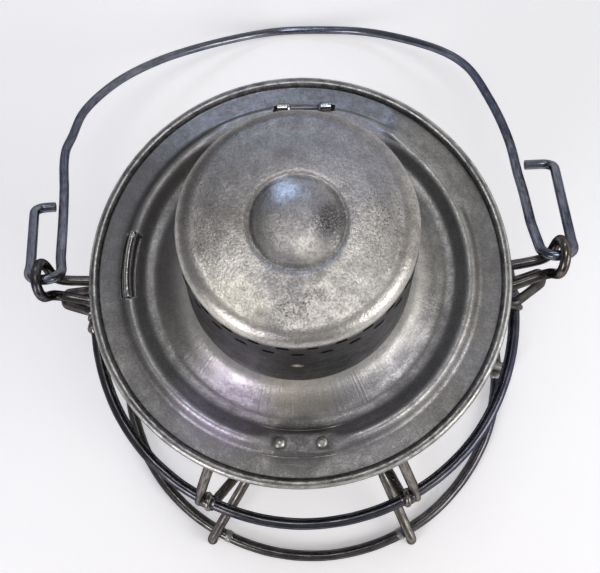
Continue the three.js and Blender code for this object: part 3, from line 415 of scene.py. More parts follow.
finishes = {
    "lid": finishFrom(steelBase, "lidTinnedSteel", zones=lidZones, brush=1.8, roughLow=0.36, roughHigh=0.52),
    "strap": finishFrom(steelBase, "lidStrapSteel", light=(0.55, 0.55, 0.52, 1), dark=(0.2, 0.2, 0.19, 1),
                        roughLow=0.16, roughHigh=0.26, patches=70.0, grain=0.8),
    "dome": finishFrom(steelBase, "domeTinnedSteel", zones=domeZones, light=(0.56, 0.54, 0.51, 1),
                       dark=(0.24, 0.225, 0.21, 1), wear=0.15, pits=0.75, patches=32.0, bump=0.9,
                       roughLow=0.3, roughHigh=0.45),
    "sheet": finishFrom(steelBase, "bodyTinnedSteel", patches=34.0, light=(0.42, 0.41, 0.39, 1)),
    "inside": finishFrom(steelBase, "sootedSteel", light=(0.2, 0.19, 0.18, 1), dark=(0.06, 0.055, 0.05, 1),
                         roughLow=0.5, roughHigh=0.75, wear=0.3),
    "tank": finishFrom(steelBase, "fountTinnedSteel", patches=40.0, pits=0.6, grime=0.9),
    "rivet": finishFrom(steelBase, "rivetSteel", patches=160.0, wear=0.7, light=(0.42, 0.41, 0.39, 1),
                        roughLow=0.34, roughHigh=0.5, grain=0.7),
    "wire": finishFrom(wireBase, "darkWire"),
    "bail": finishFrom(wireBase, "bailWire", light=(0.26, 0.275, 0.32, 1), dark=(0.05, 0.053, 0.066, 1),
                       tint=(0.12, 0.14, 0.22, 1)),
    "upright": finishFrom(wireBase, "uprightWire", light=(0.3, 0.28, 0.255, 1), dark=(0.05, 0.046, 0.042, 1),
                          tint=(0.15, 0.13, 0.11, 1), speckle=0.65, patches=90.0, roughLow=0.26,
                          roughHigh=0.42),
    "eye": finishFrom(wireBase, "eyeWire", light=(0.12, 0.108, 0.095, 1), bright=(0.6, 0.53, 0.42, 1)),
    "baseWire": finishFrom(wireBase, "baseRingWire", light=(0.15, 0.14, 0.13, 1),
                           bright=(0.55, 0.52, 0.47, 1), speckle=0.5),
    "solder": finishFrom(steelBase, "oldSolder", light=(0.2, 0.195, 0.18, 1), dark=(0.06, 0.06, 0.055, 1),
                         patches=200.0, roughLow=0.4, roughHigh=0.6, pits=0.7),
    "spring": finishFrom(steelBase, "springSteel", light=(0.3, 0.295, 0.285, 1), dark=(0.13, 0.13, 0.125, 1),
                         patches=70.0),
    "brass": finishFrom(steelBase, "tarnishedBrass", light=(0.45, 0.32, 0.14, 1), dark=(0.16, 0.1, 0.045, 1),
                        tint=(0.2, 0.17, 0.08, 1), bright=(0.72, 0.56, 0.28, 1), rust=(0.05, 0.07, 0.05, 1),
                        patches=90.0),
}


glassLook = {"smudges": 45.0, "ripples": 40.0, "rough": 0.02, "smudged": 0.12, "bump": 0.25, "depth": 0.0004}
cottonLook = {"across": 9000.0, "along": 7000.0, "charStart": 0.0585, "charred": 0.0612, "depth": 0.0002}


def glassFinish():
    material, tree, shader = startMaterial("clearGlobeGlass")
    place = addNode(tree, "ShaderNodeTexCoord").outputs["Object"]
    smudge = span(tree, cloud(tree, place, glassLook["smudges"], 5.0, 0.6), 0.45, 0.75)
    rough = plus(tree, times(tree, smudge, glassLook["smudged"]), glassLook["rough"])
    tree.links.new(rough, shader.inputs["Roughness"])
    color = blend(tree, smudge, (0.985, 0.995, 0.985, 1), (0.93, 0.94, 0.92, 1))
    tree.links.new(color, shader.inputs["Base Color"])
    shader.inputs["Transmission Weight"].default_value = 1.0
    shader.inputs["IOR"].default_value = 1.47
    ripples = cloud(tree, stretched(tree, place, (1, 1, 0.35)), glassLook["ripples"], 2.0)
    addBump(tree, shader, ripples, glassLook["bump"], glassLook["depth"])
    return material


def cottonFinish():
    material, tree, shader = startMaterial("wovenWick")
    place = addNode(tree, "ShaderNodeTexCoord").outputs["Object"]
    parts = addNode(tree, "ShaderNodeSeparateXYZ", links={0: place}).outputs
    across = calc(tree, "SINE", times(tree, parts[1], cottonLook["across"]))
    along = calc(tree, "SINE", times(tree, parts[2], cottonLook["along"]))
    weave = times(tree, across, along)
    soot = span(tree, parts[2], cottonLook["charStart"], cottonLook["charred"])
    color = blend(tree, span(tree, weave, -1.0, 1.0), (0.5, 0.45, 0.35, 1), (0.78, 0.73, 0.62, 1))
    tree.links.new(blend(tree, soot, color, (0.02, 0.018, 0.016, 1)), shader.inputs["Base Color"])
    tree.links.new(span(tree, weave, -1.0, 1.0, 0.98, 0.88), shader.inputs["Roughness"])
    addBump(tree, shader, weave, 0.8, cottonLook["depth"])
    return material


finishes["glass"] = glassFinish()
finishes["cotton"] = cottonFinish()
report("finishes built")


# Mesh helpers

def point(x, y, height):
    return Vector((x, y, height))


curvature = {"most": 1500, "start": 90, "span": 500, "passes": 2}  # one over the radius in metres


def polar(radius, turn, height):
    return (radius * cos(turn), radius * sin(turn), height)


def markCurvature(mesh):
    # Stores how far each point lies on an outer edge or in a hollow, for the wear and the grime.
    count = len(mesh.vertices)
    places = np.empty(count * 3)
    normals = np.empty(count * 3)
    mesh.vertices.foreach_get("co", places)
    mesh.vertices.foreach_get("normal", normals)
    places = places.reshape(-1, 3)
    normals = normals.reshape(-1, 3)
    ends = np.empty(len(mesh.edges) * 2, dtype=np.int64)
    mesh.edges.foreach_get("vertices", ends)
    ends = ends.reshape(-1, 2)
    both = np.concatenate([ends, ends[:, ::-1]])
    steps = places[both[:, 1]] - places[both[:, 0]]
    lengths = np.maximum((steps ** 2).sum(axis=1), 1e-10)
    bends = (steps * normals[both[:, 0]]).sum(axis=1) / lengths
    number = np.maximum(np.bincount(both[:, 0], minlength=count), 1)
    curve = 2 * np.bincount(both[:, 0], bends, minlength=count) / number
    curve = np.clip(curve, -curvature["most"], curvature["most"])
    for _ in range(curvature["passes"]):
        near = np.bincount(both[:, 0], curve[both[:, 1]], minlength=count) / number
        curve = (curve + near) / 2
    for name, values in (("edge", -curve), ("hollow", curve)):
        layer = mesh.attributes.new(name, "FLOAT", "POINT")
        share = np.clip((values - curvature["start"]) / curvature["span"], 0, 1)
        layer.data.foreach_set("value", share.astype(np.float32))


def makePiece(name, points, faces, body, finish, replaced=(), angle=35.0, bevel=0.0, space=None):
    # Points come in millimetres above the floor; the piece lies in the shared frame in metres.
    mesh = bpy.data.meshes.new(name)
    mesh.from_pydata([(p[0] * mm, p[1] * mm, (p[2] - standGap) * mm) for p in points], [], faces)
    if space is not None:
        layer = mesh.attributes.new("wireSpace", "FLOAT_VECTOR", "POINT")
        layer.data.foreach_set("vector", [value * mm for row in space for value in row])
    shell = bmesh.new()
    shell.from_mesh(mesh)
    bmesh.ops.recalc_face_normals(shell, faces=shell.faces)
    if bevel:
        sharp = [edge for edge in shell.edges
                 if len(edge.link_faces) == 2 and edge.calc_face_angle() > radians(angle)]
        bmesh.ops.bevel(shell, geom=sharp, offset=bevel * mm, segments=2, profile=0.5, affect="EDGES")
    shell.to_mesh(mesh)
    shell.free()
    mesh.shade_smooth()
    mesh.set_sharp_from_angle(angle=radians(angle))
    markCurvature(mesh)
    mesh.materials.append(finishes[finish])
    piece = bpy.data.objects.new(name, mesh)
    bpy.context.scene.collection.objects.link(piece)
    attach(piece, body)
    if replaced:
        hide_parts(*replaced)
    return piece


class Shape:
    # Points and faces of one piece, gathered from several parts.
    def __init__(self):
        self.points = []
        self.faces = []

    def add(self, points, faces):
        start = len(self.points)
        self.points += [Vector(p) for p in points]
        self.faces += [tuple(start + i for i in face) for face in faces]
        return self


def ringFaces(rings, sides, closed=False):
    faces = []
    count = rings if closed else rings - 1
    for ring in range(count):
        low = ring * sides
        high = ((ring + 1) % rings) * sides
        for side in range(sides):
            following = (side + 1) % sides
            faces.append((low + side, low + following, high + following, high + side))
    return faces


def lengthsAlong(line):
    total = [0.0]
    for first, second in zip(line, line[1:]):
        total.append(total[-1] + (second - first).length)
    return total


def evenLine(line, step):
    # The same line with points at about equal steps.
    lengths = lengthsAlong(line)
    count = max(int(round(lengths[-1] / step)), 2)
    result = []
    index = 0
    for number in range(count + 1):
        wanted = lengths[-1] * number / count
        while index < len(line) - 2 and lengths[index + 1] < wanted:
            index += 1
        run = lengths[index + 1] - lengths[index]
        share = (wanted - lengths[index]) / run if run else 0.0
        result.append(line[index].lerp(line[index + 1], min(max(share, 0.0), 1.0)))
    return result


def softened(line, passes):
    for _ in range(passes):
        inner = [line[i - 1] * 0.25 + line[i] * 0.5 + line[i + 1] * 0.25 for i in range(1, len(line) - 1)]
        line = [line[0], *inner, line[-1]]
    return line


def tube(line, radius, sides, rough, seed, closed=False, widths=None):
    # A wire swept along the line, with a slightly uneven skin and clipped ends.
    count = len(line)
    tangents = []
    for i in range(count):
        after = line[(i + 1) % count] if closed or i < count - 1 else line[i]
        before = line[i - 1] if closed or i > 0 else line[i]
        tangents.append((after - before).normalized())
    side = tangents[0].orthogonal().normalized()
    sideways = [side]
    for i in range(1, count):
        turn = tangents[i - 1].rotation_difference(tangents[i])
        side = (turn @ side).normalized()
        sideways.append(side)
    twist = 0.0
    if closed:
        last = tangents[-1].rotation_difference(tangents[0]) @ sideways[-1]
        twist = atan2(tangents[0].dot(last.cross(sideways[0])), last.dot(sideways[0]))
    lengths = lengthsAlong(line)
    points = []
    space = []
    for i in range(count):
        second = tangents[i].cross(sideways[i])
        extra = twist * i / count
        for k in range(sides):
            turn = tau * k / sides + extra
            way = sideways[i] * cos(turn) + second * sin(turn)
            swell = 1 + rough * noise.noise((line[i] + way * radius) * 0.18 + Vector((seed, 0, 0)))
            if widths:
                swell *= widths[i]
            points.append(line[i] + way * radius * swell)
            space.append((radius * cos(turn), radius * sin(turn), lengths[i] + seed * 37))
    faces = ringFaces(count, sides, closed)
    if not closed:
        chamfers = ((0.86, 0.16), (0.5 / 0.86, 0.2))  # how far each ring shrinks and stands out
        for end in (0, count - 1):
            outward = -tangents[0] if end == 0 else tangents[-1]
            ring = [end * sides + k for k in range(sides)]
            reached = 0.0
            for scale, push in chamfers:
                start = len(points)
                for k in ring:
                    way = points[k] - line[end] - outward * radius * reached
                    points.append(line[end] + way * scale + outward * radius * push)
                    space.append(space[k])
                reached = push
                fresh = list(range(start, start + sides))
                for k in range(sides):
                    after = (k + 1) % sides
                    quad = (ring[k], ring[after], fresh[after], fresh[k])
                    faces.append(quad if end else quad[::-1])
                ring = fresh
            faces.append(tuple(ring) if end else tuple(ring[::-1]))
    return points, faces, space


def turnedPiece(name, replaced, body, finish, outline, segments, **options):
    points, faces = turned(outline, segments)
    return makePiece(name, points, faces, body, finish, (replaced,), **options)


def wirePiece(name, replaced, body, finish, line, radius, sides, rough, seed, **options):
    points, faces, space = tube(line, radius, sides, rough, seed, **options)
    makePiece(name, points, faces, body, finish, (replaced,), space=space)


def bentLine(corners, bend):
    # Straight runs between the corners, with an arc at each inner corner.
    steps = 10
    line = [corners[0].copy()]
    for i in range(1, len(corners) - 1):
        back = corners[i - 1] - corners[i]
        ahead = corners[i + 1] - corners[i]
        half = back.angle(ahead) / 2
        reach = min(bend / tan(half), back.length / 2, ahead.length / 2)
        start = corners[i] + back.normalized() * reach
        end = corners[i] + ahead.normalized() * reach
        middle = corners[i] + (back.normalized() + ahead.normalized()).normalized() * (reach / cos(half))
        sweep = pi - 2 * half
        for step in range(steps + 1):
            turn = sweep * step / steps
            first = (start - middle) * (sin(sweep - turn) / sin(sweep))
            line.append(first + (end - middle) * (sin(turn) / sin(sweep)) + middle)
    line.append(corners[-1].copy())
    return line


def throughPoints(points, steps):
    # A centripetal curve through the points, sampled evenly in its own parameter.
    padded = [points[0] * 2 - points[1], *points, points[-1] * 2 - points[-2]]
    result = []
    spans = len(points) - 1
    for number in range(steps + 1):
        place = number * spans / steps
        index = min(int(place), spans - 1)
        share = place - index
        p0, p1, p2, p3 = padded[index:index + 4]
        d0, d1, d2 = ((b - a).length ** 0.5 for a, b in ((p0, p1), (p1, p2), (p2, p3)))
        m1 = (p1 - p0) / d0 - (p2 - p0) / (d0 + d1) + (p2 - p1) / d1
        m2 = (p2 - p1) / d1 - (p3 - p1) / (d1 + d2) + (p3 - p2) / d2
        m1 *= d1
        m2 *= d1
        t2 = share * share
        t3 = t2 * share
        result.append(p1 * (2 * t3 - 3 * t2 + 1) + m1 * (t3 - 2 * t2 + share) + p2 * (3 * t2 - 2 * t3)
                      + m2 * (t3 - t2))
    return result


def spun(outlineAt, segments):
    # A closed outline of (radius, height) that may change round the axis.
    points = []
    for i in range(segments):
        turn = tau * i / segments
        outline = outlineAt(turn)
        for radius, height in outline:
            points.append(polar(radius, turn, height))
    sides = len(points) // segments
    return points, ringFaces(segments, sides, True)


def turned(outline, segments):
    # A fixed outline; where it meets the axis the faces close in a point.
    points = []
    faces = []
    rows = []
    for radius, height in outline:
        if radius < 1e-6:
            points.append((0, 0, height))
            rows.append([len(points) - 1] * segments)
        else:
            rows.append(list(range(len(points), len(points) + segments)))
            for i in range(segments):
                turn = tau * i / segments
                points.append(polar(radius, turn, height))
    closed = outline[0][0] > 1e-6
    pairs = list(zip(rows, rows[1:] + rows[:1] if closed else rows[1:]))
    for low, high in pairs:
        for i in range(segments):
            after = (i + 1) % segments
            corners = [low[i], low[after], high[after], high[i]]
            face = tuple(dict.fromkeys(corners))
            if len(face) > 2:
                faces.append(face)
    return points, faces


def pierced(columns, rows, outerAt, innerAt, isOpen):
    # A round sheet with holes: both faces on one grid, joined round each hole and along the edges.
    wide = len(columns)
    points = []
    for surface in (outerAt, innerAt):
        for row in rows:
            for column in columns:
                points.append(surface(column, row))
    layer = wide * len(rows)
    kept = {}
    for j in range(len(rows) - 1):
        for i in range(wide):
            after = columns[(i + 1) % wide] + (tau if i == wide - 1 else 0)
            kept[i, j] = not isOpen((columns[i] + after) / 2, (rows[j] + rows[j + 1]) / 2)
    faces = []
    for (i, j), keep in kept.items():
        if not keep:
            continue
        a, b = j * wide + i, j * wide + (i + 1) % wide
        c, d = b + wide, a + wide
        faces.append((a, b, c, d))
        faces.append((layer + d, layer + c, layer + b, layer + a))
        beside = {(a, b): (i, j - 1), (c, d): (i, j + 1), (b, c): ((i + 1) % wide, j),
                  (d, a): ((i - 1) % wide, j)}
        for (first, second), other in beside.items():
            if not kept.get(other, False):
                faces.append((second, first, layer + first, layer + second))
    used = sorted({index for face in faces for index in face})
    fresh = {index: number for number, index in enumerate(used)}
    return [points[i] for i in used], [tuple(fresh[i] for i in face) for face in faces]


def gridWith(low, high, step, marks):
    # Grid lines at about equal steps that also fall on the marks.
    count = max(int(round((high - low) / step)), 1)
    lines = [low + (high - low) * i / count for i in range(count + 1)]
    lines = [line for line in lines if min((abs(line - mark) for mark in marks), default=step) > step * 0.3]
    return sorted(set(lines + [mark for mark in marks if low <= mark <= high]))


def wavy(way, broad, fine, shift):
    # The slight waves of pressed sheet, each given as (height, length).
    return (broad[0] * noise.noise(way / broad[1])
            + fine[0] * noise.noise(way / fine[1] + Vector(shift)))


def sheetEnd(radius, height):
    # The eased upper end of a sheet wall, from its outer to its inner face.
    return [(radius, height - 0.2), (radius - 0.2, height), (radius - sheet + 0.2, height),
            (radius - sheet, height - 0.2)]


def onceRound(turn):
    return turn % tau


def hole(low, high, bottom, top):
    # A hole between two angles and two heights, with its start brought within one turn.
    return (onceRound(low), onceRound(low) + high - low, bottom, top)


def holeColumns(holes, step):
    # The angles of a grid that also has a line on each side of each hole.
    marks = sorted({round(onceRound(edge), 9) for box in holes for edge in box[:2]})
    return [turn for turn in gridWith(0, tau, step, marks) if turn < tau - 1e-6]


def insideHoles(holes):
    def isOpen(turn, height):
        turn = onceRound(turn)
        return any(bottom < height < top and onceRound(turn - low) < high - low
                   for low, high, bottom, top in holes)
    return isOpen


def circle(x, y, radius, way=1):
    count = 20
    turns = [way * tau * k / count for k in range(count)]
    return [(x + radius * cos(turn), y + radius * sin(turn)) for turn in turns]


def prismFaces(sides):
    # The sides of a prism and its two ends, for points given end by end.
    return ringFaces(2, sides) + [tuple(range(sides - 1, -1, -1)), tuple(range(sides, 2 * sides))]


def smoothProfile(pairs, steps):
    # A curve through (radius, height) pairs that doesn't overshoot them.
    xs = np.array([p[0] for p in pairs], dtype=float)
    ys = np.array([p[1] for p in pairs], dtype=float)
    if xs[0] > xs[-1]:
        xs, ys = xs[::-1], ys[::-1]
    slopes = np.diff(ys) / np.diff(xs)
    tangents = np.zeros(len(xs))
    for i in range(1, len(xs) - 1):
        if slopes[i - 1] * slopes[i] > 0:
            tangents[i] = 2 / (1 / slopes[i - 1] + 1 / slopes[i])
    tangents[0], tangents[-1] = slopes[0], slopes[-1]
    spots = np.linspace(xs[0], xs[-1], steps)
    index = np.clip(np.searchsorted(xs, spots) - 1, 0, len(xs) - 2)
    run = xs[index + 1] - xs[index]
    t = (spots - xs[index]) / run
    value = ((1 + 2 * t) * (1 - t) ** 2 * ys[index] + t * (1 - t) ** 2 * run * tangents[index]
             + t * t * (3 - 2 * t) * ys[index + 1] + t * t * (t - 1) * run * tangents[index + 1])
    return list(zip(spots, value))


def ease(value, low, high):
    share = min(max((value - low) / (high - low), 0.0), 1.0)
    return share * share * (3 - 2 * share)


def turnedAbout(points, angle):
    spin = Matrix.Rotation(angle, 3, "Z")
    return [spin @ Vector(p) for p in points]


# Wire guard: base ring, guard ring and six uprights that wrap round it

guard = {
    "baseRadius": 86.8, "baseWire": 2.5, "guardRadius": 82, "guardWire": 2.25, "guardHeight": 127,
    "uprightWire": 1.75, "uprights": 6, "bend": 8, "top": 178, "topBend": 166, "foot": 1.0,
    "wrapPitch": 4.2, "wrapSink": 1.9, "wrapSteps": 48, "footShift": -1.7,
    "widths": (0.7, 1.12, 1.3),  # of the wire in the wrap, above and at the foot
    "squeeze": (0.5, 7), "swell": (110, 15),  # past the wrap, and down the wire
    "mirrored": (1, 5),  # the uprights that are wrapped the other way round
    "wrapSolder": 0.85,
}
guard["wrapRadius"] = guard["guardWire"] + guard["uprightWire"] + clearance - guard["wrapSink"]
collar = {"radius": 58, "bottom": 158, "top": 184, "roll": 1.2, "dents": 0.18}
well = {
    "radius": 49, "bottom": 28, "top": 60, "runMargin": 5, "lug": 1.6, "lugHeight": 33, "lugs": 3,
    "lugTurn": 15, "shaftHeight": 50, "shaft": 1.2, "shaftOffset": 5.1,
}


def ringLine(radius, height, wobble, seed):
    count = 240
    line = []
    for i in range(count):
        turn = tau * i / count
        out = radius + wobble * noise.noise(Vector((2.2 * cos(turn), 2.2 * sin(turn), seed)))
        lift = 0.5 * wobble * noise.noise(Vector((1.7 * cos(turn), 1.7 * sin(turn), seed + 5)))
        line.append(point(out * cos(turn), out * sin(turn), height + max(lift, 0)))
    return line


def wrapLine(arriving, leaving, side):
    radius = guard["wrapRadius"]
    ringX, ringZ = guard["guardRadius"], guard["guardHeight"]
    ends = []
    for spot, sign in ((arriving, -1), (leaving, 1)):
        dx, dz = spot.x - ringX, spot.z - ringZ
        angle = atan2(dz, dx) % tau
        ends.append(angle + sign * acos(radius / hypot(dx, dz)))
    start, end = ends[0], ends[1] - 2 * tau
    line = []
    for step in range(guard["wrapSteps"] + 1):
        turn = start + (end - start) * step / guard["wrapSteps"]
        across = side * guard["wrapPitch"] * (start - turn) / tau
        line.append(point(ringX + radius * cos(turn), across, ringZ + radius * sin(turn)))
    return line


def wireWidth(place):
    # The wire is squeezed where it wraps the ring, and swells towards its foot.
    thin, plain, thick = guard["widths"]
    away = hypot(place.x - guard["guardRadius"], place.z - guard["guardHeight"])
    near, far = guard["squeeze"]
    free = ease(away, guard["wrapRadius"] + near, guard["wrapRadius"] + far)
    wide = plain + (thick - plain) * ease(place.z, *guard["swell"])
    return thin + (wide - thin) * free


def uprightLine(side):
    wire, base = guard["uprightWire"], guard["baseWire"]
    collarSide = collar["radius"] + clearance + wire
    wellSide = well["radius"] + clearance + wire
    hook = base + wire + 2 * clearance
    hookSide = guard["baseRadius"] + hook
    wellLow = well["bottom"] + well["runMargin"]
    aside = guard["wrapPitch"] / 2
    drop, out = wellLow - base, guard["baseRadius"] - wellSide
    slope = atan2(drop, out) - asin(hook / hypot(drop, out))
    top = point(collarSide, 0, guard["top"])
    bend = point(collarSide, 0, guard["topBend"])
    high = point(wellSide, aside, well["top"] - well["runMargin"])
    low = point(wellSide, aside, wellLow)
    wrap = wrapLine(bend, high, side)
    reach = point(hookSide, guard["footShift"], wellLow - (hookSide - wellSide) * tan(slope))
    upper = bentLine([top, bend, wrap[0]], guard["bend"])
    lower = bentLine([wrap[-1], high, low, reach], guard["bend"])
    end = bentLine([low, reach, point(hookSide, guard["footShift"], guard["foot"])], hook)
    return upper[:-1] + wrap + lower[1:-1] + end[1:]


def solderBlob(center, size, seed, turn):
    # An uneven lump of solder, flattened against what it holds.
    points = []
    faces = []
    rings, sides, uneven = 10, 16, 0.22
    for i in range(1, rings):
        down = pi * i / rings
        for k in range(sides):
            way = Vector(polar(sin(down), tau * k / sides, cos(down)))
            swell = 1 + uneven * noise.noise(way * 1.6 + Vector((seed, seed * 2, 0)))
            points.append(Vector((way.x * size[0] * swell, way.y * size[1] * swell, way.z * size[2] * swell)))
    faces += ringFaces(rings - 1, sides)
    top, low = len(points), len(points) + 1
    points += [Vector((0, 0, size[2])), Vector((0, 0, -size[2]))]
    for k in range(sides):
        after = (k + 1) % sides
        faces.append((top, k, after))
        last = (rings - 2) * sides
        faces.append((low, last + after, last + k))
    moved = [p + Vector(center) for p in points]
    return turnedAbout(moved, turn), faces


def makeGuard():
    ring = ringLine(guard["baseRadius"], guard["baseWire"], 0.35, 1.0)
    wirePiece("base_ring_wire", "base_ring", "frame", "baseWire", ring, guard["baseWire"] - 0.02, 20, 0.03,
              1.0, closed=True)
    ring = ringLine(guard["guardRadius"], guard["guardHeight"], 0.3, 9.0)
    wirePiece("guard_ring_wire", "guard_ring", "frame", "wire", ring, guard["guardWire"], 20, 0.03, 2.0,
              closed=True)
    lumps = Shape()
    for i in range(guard["uprights"]):
        angle = tau * i / guard["uprights"]
        side = -1 if i in guard["mirrored"] else 1
        line = softened(evenLine(uprightLine(side), 0.8), 2)
        widths = [wireWidth(place) for place in line]
        wirePiece(f"upright_wire_{i + 1}", f"upright_{i + 1}", "frame", "upright", turnedAbout(line, angle),
                  guard["uprightWire"], 16, 0.035, 3.0 + i, widths=widths)
        size = guard["guardWire"] + guard["wrapSolder"]
        middle = (guard["guardRadius"], side * guard["wrapPitch"] * 0.7, guard["guardHeight"])
        lumps.add(*solderBlob(middle, (size, guard["wrapPitch"] * 1.15, size), 40 + i, angle))
    makePiece("wrap_solder", lumps.points, lumps.faces, "frame", "baseWire", angle=60, space=lumps.points)


makeGuard()
report("wire guard")


# Collar, well and seat

def makeCollar():
    r, roll, top, bottom = collar["radius"], collar["roll"], collar["top"], collar["bottom"]
    outline = [(r, bottom + 0.3), (r, bottom + 3), (r, bottom + 5)]
    for i in range(13):
        turn = -pi * 0.25 + (1.45 * pi) * i / 12
        outline.append((r - roll + roll * cos(turn), top - roll + roll * sin(turn)))
    outline += [(r - sheet, top - 2.2 * roll), (r - sheet, bottom + 0.3), (r - sheet + 0.25, bottom),
                (r - 0.25, bottom)]

    def dented(turn):
        line = []
        for radius, height in outline:
            place = Vector((3 * cos(turn), 3 * sin(turn), height * 0.05))
            line.append((radius + min(collar["dents"] * noise.noise(place), 0), height))
        return line
    points, faces = spun(dented, 200)
    makePiece("collar_sheet", points, faces, "frame", "sheet", ("collar_band",))


def makeWell():
    r = well["radius"]
    slot = 2 * (well["lug"] + clearance)
    half = slot / 2 / r
    turn = radians(well["lugTurn"])
    low, high = well["lugHeight"] - slot / 2, well["lugHeight"] + slot / 2
    holes = []
    for i in range(well["lugs"]):
        lug = pi / 2 + tau * i / well["lugs"]
        holes.append(hole(lug - turn - half, lug - turn + half, 0, high))
        holes.append(hole(lug - turn - half, lug + half, low, high))
    margin = 2 * clearance + well["shaft"]
    shaft = asin(well["shaftOffset"] / r) - pi / 2
    holes.append(hole(shaft - turn - margin / r, shaft + margin / r, 0, well["shaftHeight"] + margin))
    columns = holeColumns(holes, radians(1.5))
    levels = [edge for box in holes for edge in box[2:] if edge]
    rows = gridWith(well["bottom"], well["top"], 1.0, levels)

    def surface(inset):
        def at(turn, height):
            return polar(r - inset, turn, height)
        return at
    points, faces = pierced(columns, rows, surface(0), surface(sheet), insideHoles(holes))
    makePiece("well_sheet", points, faces, "frame", "sheet", ("fount_well",), angle=40)


def cutWith(piece, points, faces):
    # Cuts a closed shape out of a piece and drops the cutter.
    mesh = bpy.data.meshes.new("cutter")
    mesh.from_pydata([(p[0] * mm, p[1] * mm, (p[2] - standGap) * mm) for p in points], [], faces)
    shell = bmesh.new()
    shell.from_mesh(mesh)
    bmesh.ops.recalc_face_normals(shell, faces=shell.faces)
    shell.to_mesh(mesh)
    shell.free()
    cutter = bpy.data.objects.new("cutter", mesh)
    bpy.context.scene.collection.objects.link(cutter)
    change = piece.modifiers.new("cut", "BOOLEAN")
    change.operation = "DIFFERENCE"
    change.solver = "EXACT"
    change.object = cutter
    graph = bpy.context.evaluated_depsgraph_get()
    fresh = bpy.data.meshes.new_from_object(piece.evaluated_get(graph))
    piece.modifiers.clear()
    old = piece.data
    piece.data = fresh
    fresh.name = old.name
    bpy.data.meshes.remove(old)
    bpy.data.objects.remove(cutter)
    bpy.data.meshes.remove(mesh)
    fresh.set_sharp_from_angle(angle=radians(35))


seat = {"height": 56, "hole": 19, "radius": 47.9, "rim": 3, "airHole": 2.2, "airHoles": 12, "share": 0.55}


def makeSeat():
    h, r, rim = seat["height"], seat["radius"], seat["height"] + sheet + seat["rim"]
    outline = [(seat["hole"], h + 0.2), (seat["hole"] + 0.2, h), (r - 1.5, h), (r - 0.4, h + 0.4),
               (r, h + 1.5), *sheetEnd(r, rim), (r - sheet, h + sheet + 0.8),
               (r - sheet - 0.6, h + sheet), (seat["hole"] + 0.2, h + sheet),
               (seat["hole"], h + sheet - 0.2)]
    piece = turnedPiece("seat_sheet", "globe_seat", "frame", "sheet", outline, 144)
    cutter = Shape()
    reach = seat["hole"] + seat["share"] * (r - seat["hole"])
    for i in range(seat["airHoles"]):
        turn = tau * i / seat["airHoles"]
        rim = circle(reach * cos(turn), reach * sin(turn), seat["airHole"])
        cutter.add([(x, y, level) for level in (h - 2, h + 3) for x, y in rim], prismFaces(len(rim)))
    cutWith(piece, cutter.points, cutter.faces)


makeCollar()
makeWell()
makeSeat()
report("collar, well and seat")


# Globe

globe = {
    "foot": 57.1, "top": 185, "footRadius": 44, "bulge": 54.5, "neck": 43, "wall": 3,
    "lower": [(0, 0), (0.07, 0.03), (0.16, 0.3), (0.3, 0.85), (0.42, 1)],
    "upper": [(0.56, 0.9), (0.7, 0.52), (0.82, 0.14), (1, 0)],
}


def makeGlobe():
    height = globe["top"] - globe["foot"]
    outer = [(globe["foot"] + up * height, globe["footRadius"] + out * (globe["bulge"] - globe["footRadius"]))
             for up, out in globe["lower"]]
    outer += [(globe["foot"] + up * height, globe["neck"] + out * (globe["bulge"] - globe["neck"]))
              for up, out in globe["upper"]]
    fine = smoothProfile(outer, 60)
    outline = [(radius, level) for level, radius in fine]
    inner = [(radius - globe["wall"], level) for radius, level in reversed(outline)]
    inner[0] = (inner[0][0] + 0.5, inner[0][1])
    turnedPiece("globe_glass", "globe", "frame", "glass", outline + inner, 128, angle=50)


makeGlobe()


# Eyes, their stays and the bail

bail = {
    "pivot": 178, "aside": 5.65, "yaw": 1.4, "wire": 1.95, "inner": 87.2, "bend": 6, "length": 242.3,
    "dip": 0.3, "tilt": 136.45, "leftHook": 58, "rightHook": 75.6, "leftLean": 5.6, "rightLean": 3.4,
    "corner": 4,
    "arch": [(-1.019, 0.065), (-1.051, 0.178), (-1.09, 0.301), (-1.127, 0.4), (-1.14, 0.462),
             (-1.129, 0.515), (-1.103, 0.636), (-0.961, 0.776), (-0.765, 0.871), (-0.551, 0.932),
             (-0.272, 0.984), (-0.1, 1), (0.072, 0.998), (0.356, 0.976), (0.575, 0.926), (0.781, 0.849),
             (0.895, 0.765), (0.972, 0.59), (1.005, 0.413), (1, 0.282), (1, 0.22), (0.993, 0.105)],
}
eye = {
    "wire": 1.9, "rootDrop": 12.6,
    "route": [(-2.54, -2.7, 0.79), (-1.29, -2.05, 0.95), (-0.57, -1.1, 1.32), (-0.14, -0.32, 1.55),
              (0.36, 0.53, 1.45), (0.82, 1.21, 0.79), (1, 1.37, 0)],
}
stay = {"wire": 1.8, "reach": 90.5, "tipHeight": 147.4, "rootHeight": 161}


def leanAt(radius, side):
    # The pivot line lies a little aside and askew, so an eye leans towards it, out from the collar.
    middle = bail["inner"] + bail["bend"]
    full = side * bail["aside"] + middle * sin(radians(bail["yaw"]))
    return full * (radius - collar["radius"]) / (middle - collar["radius"])


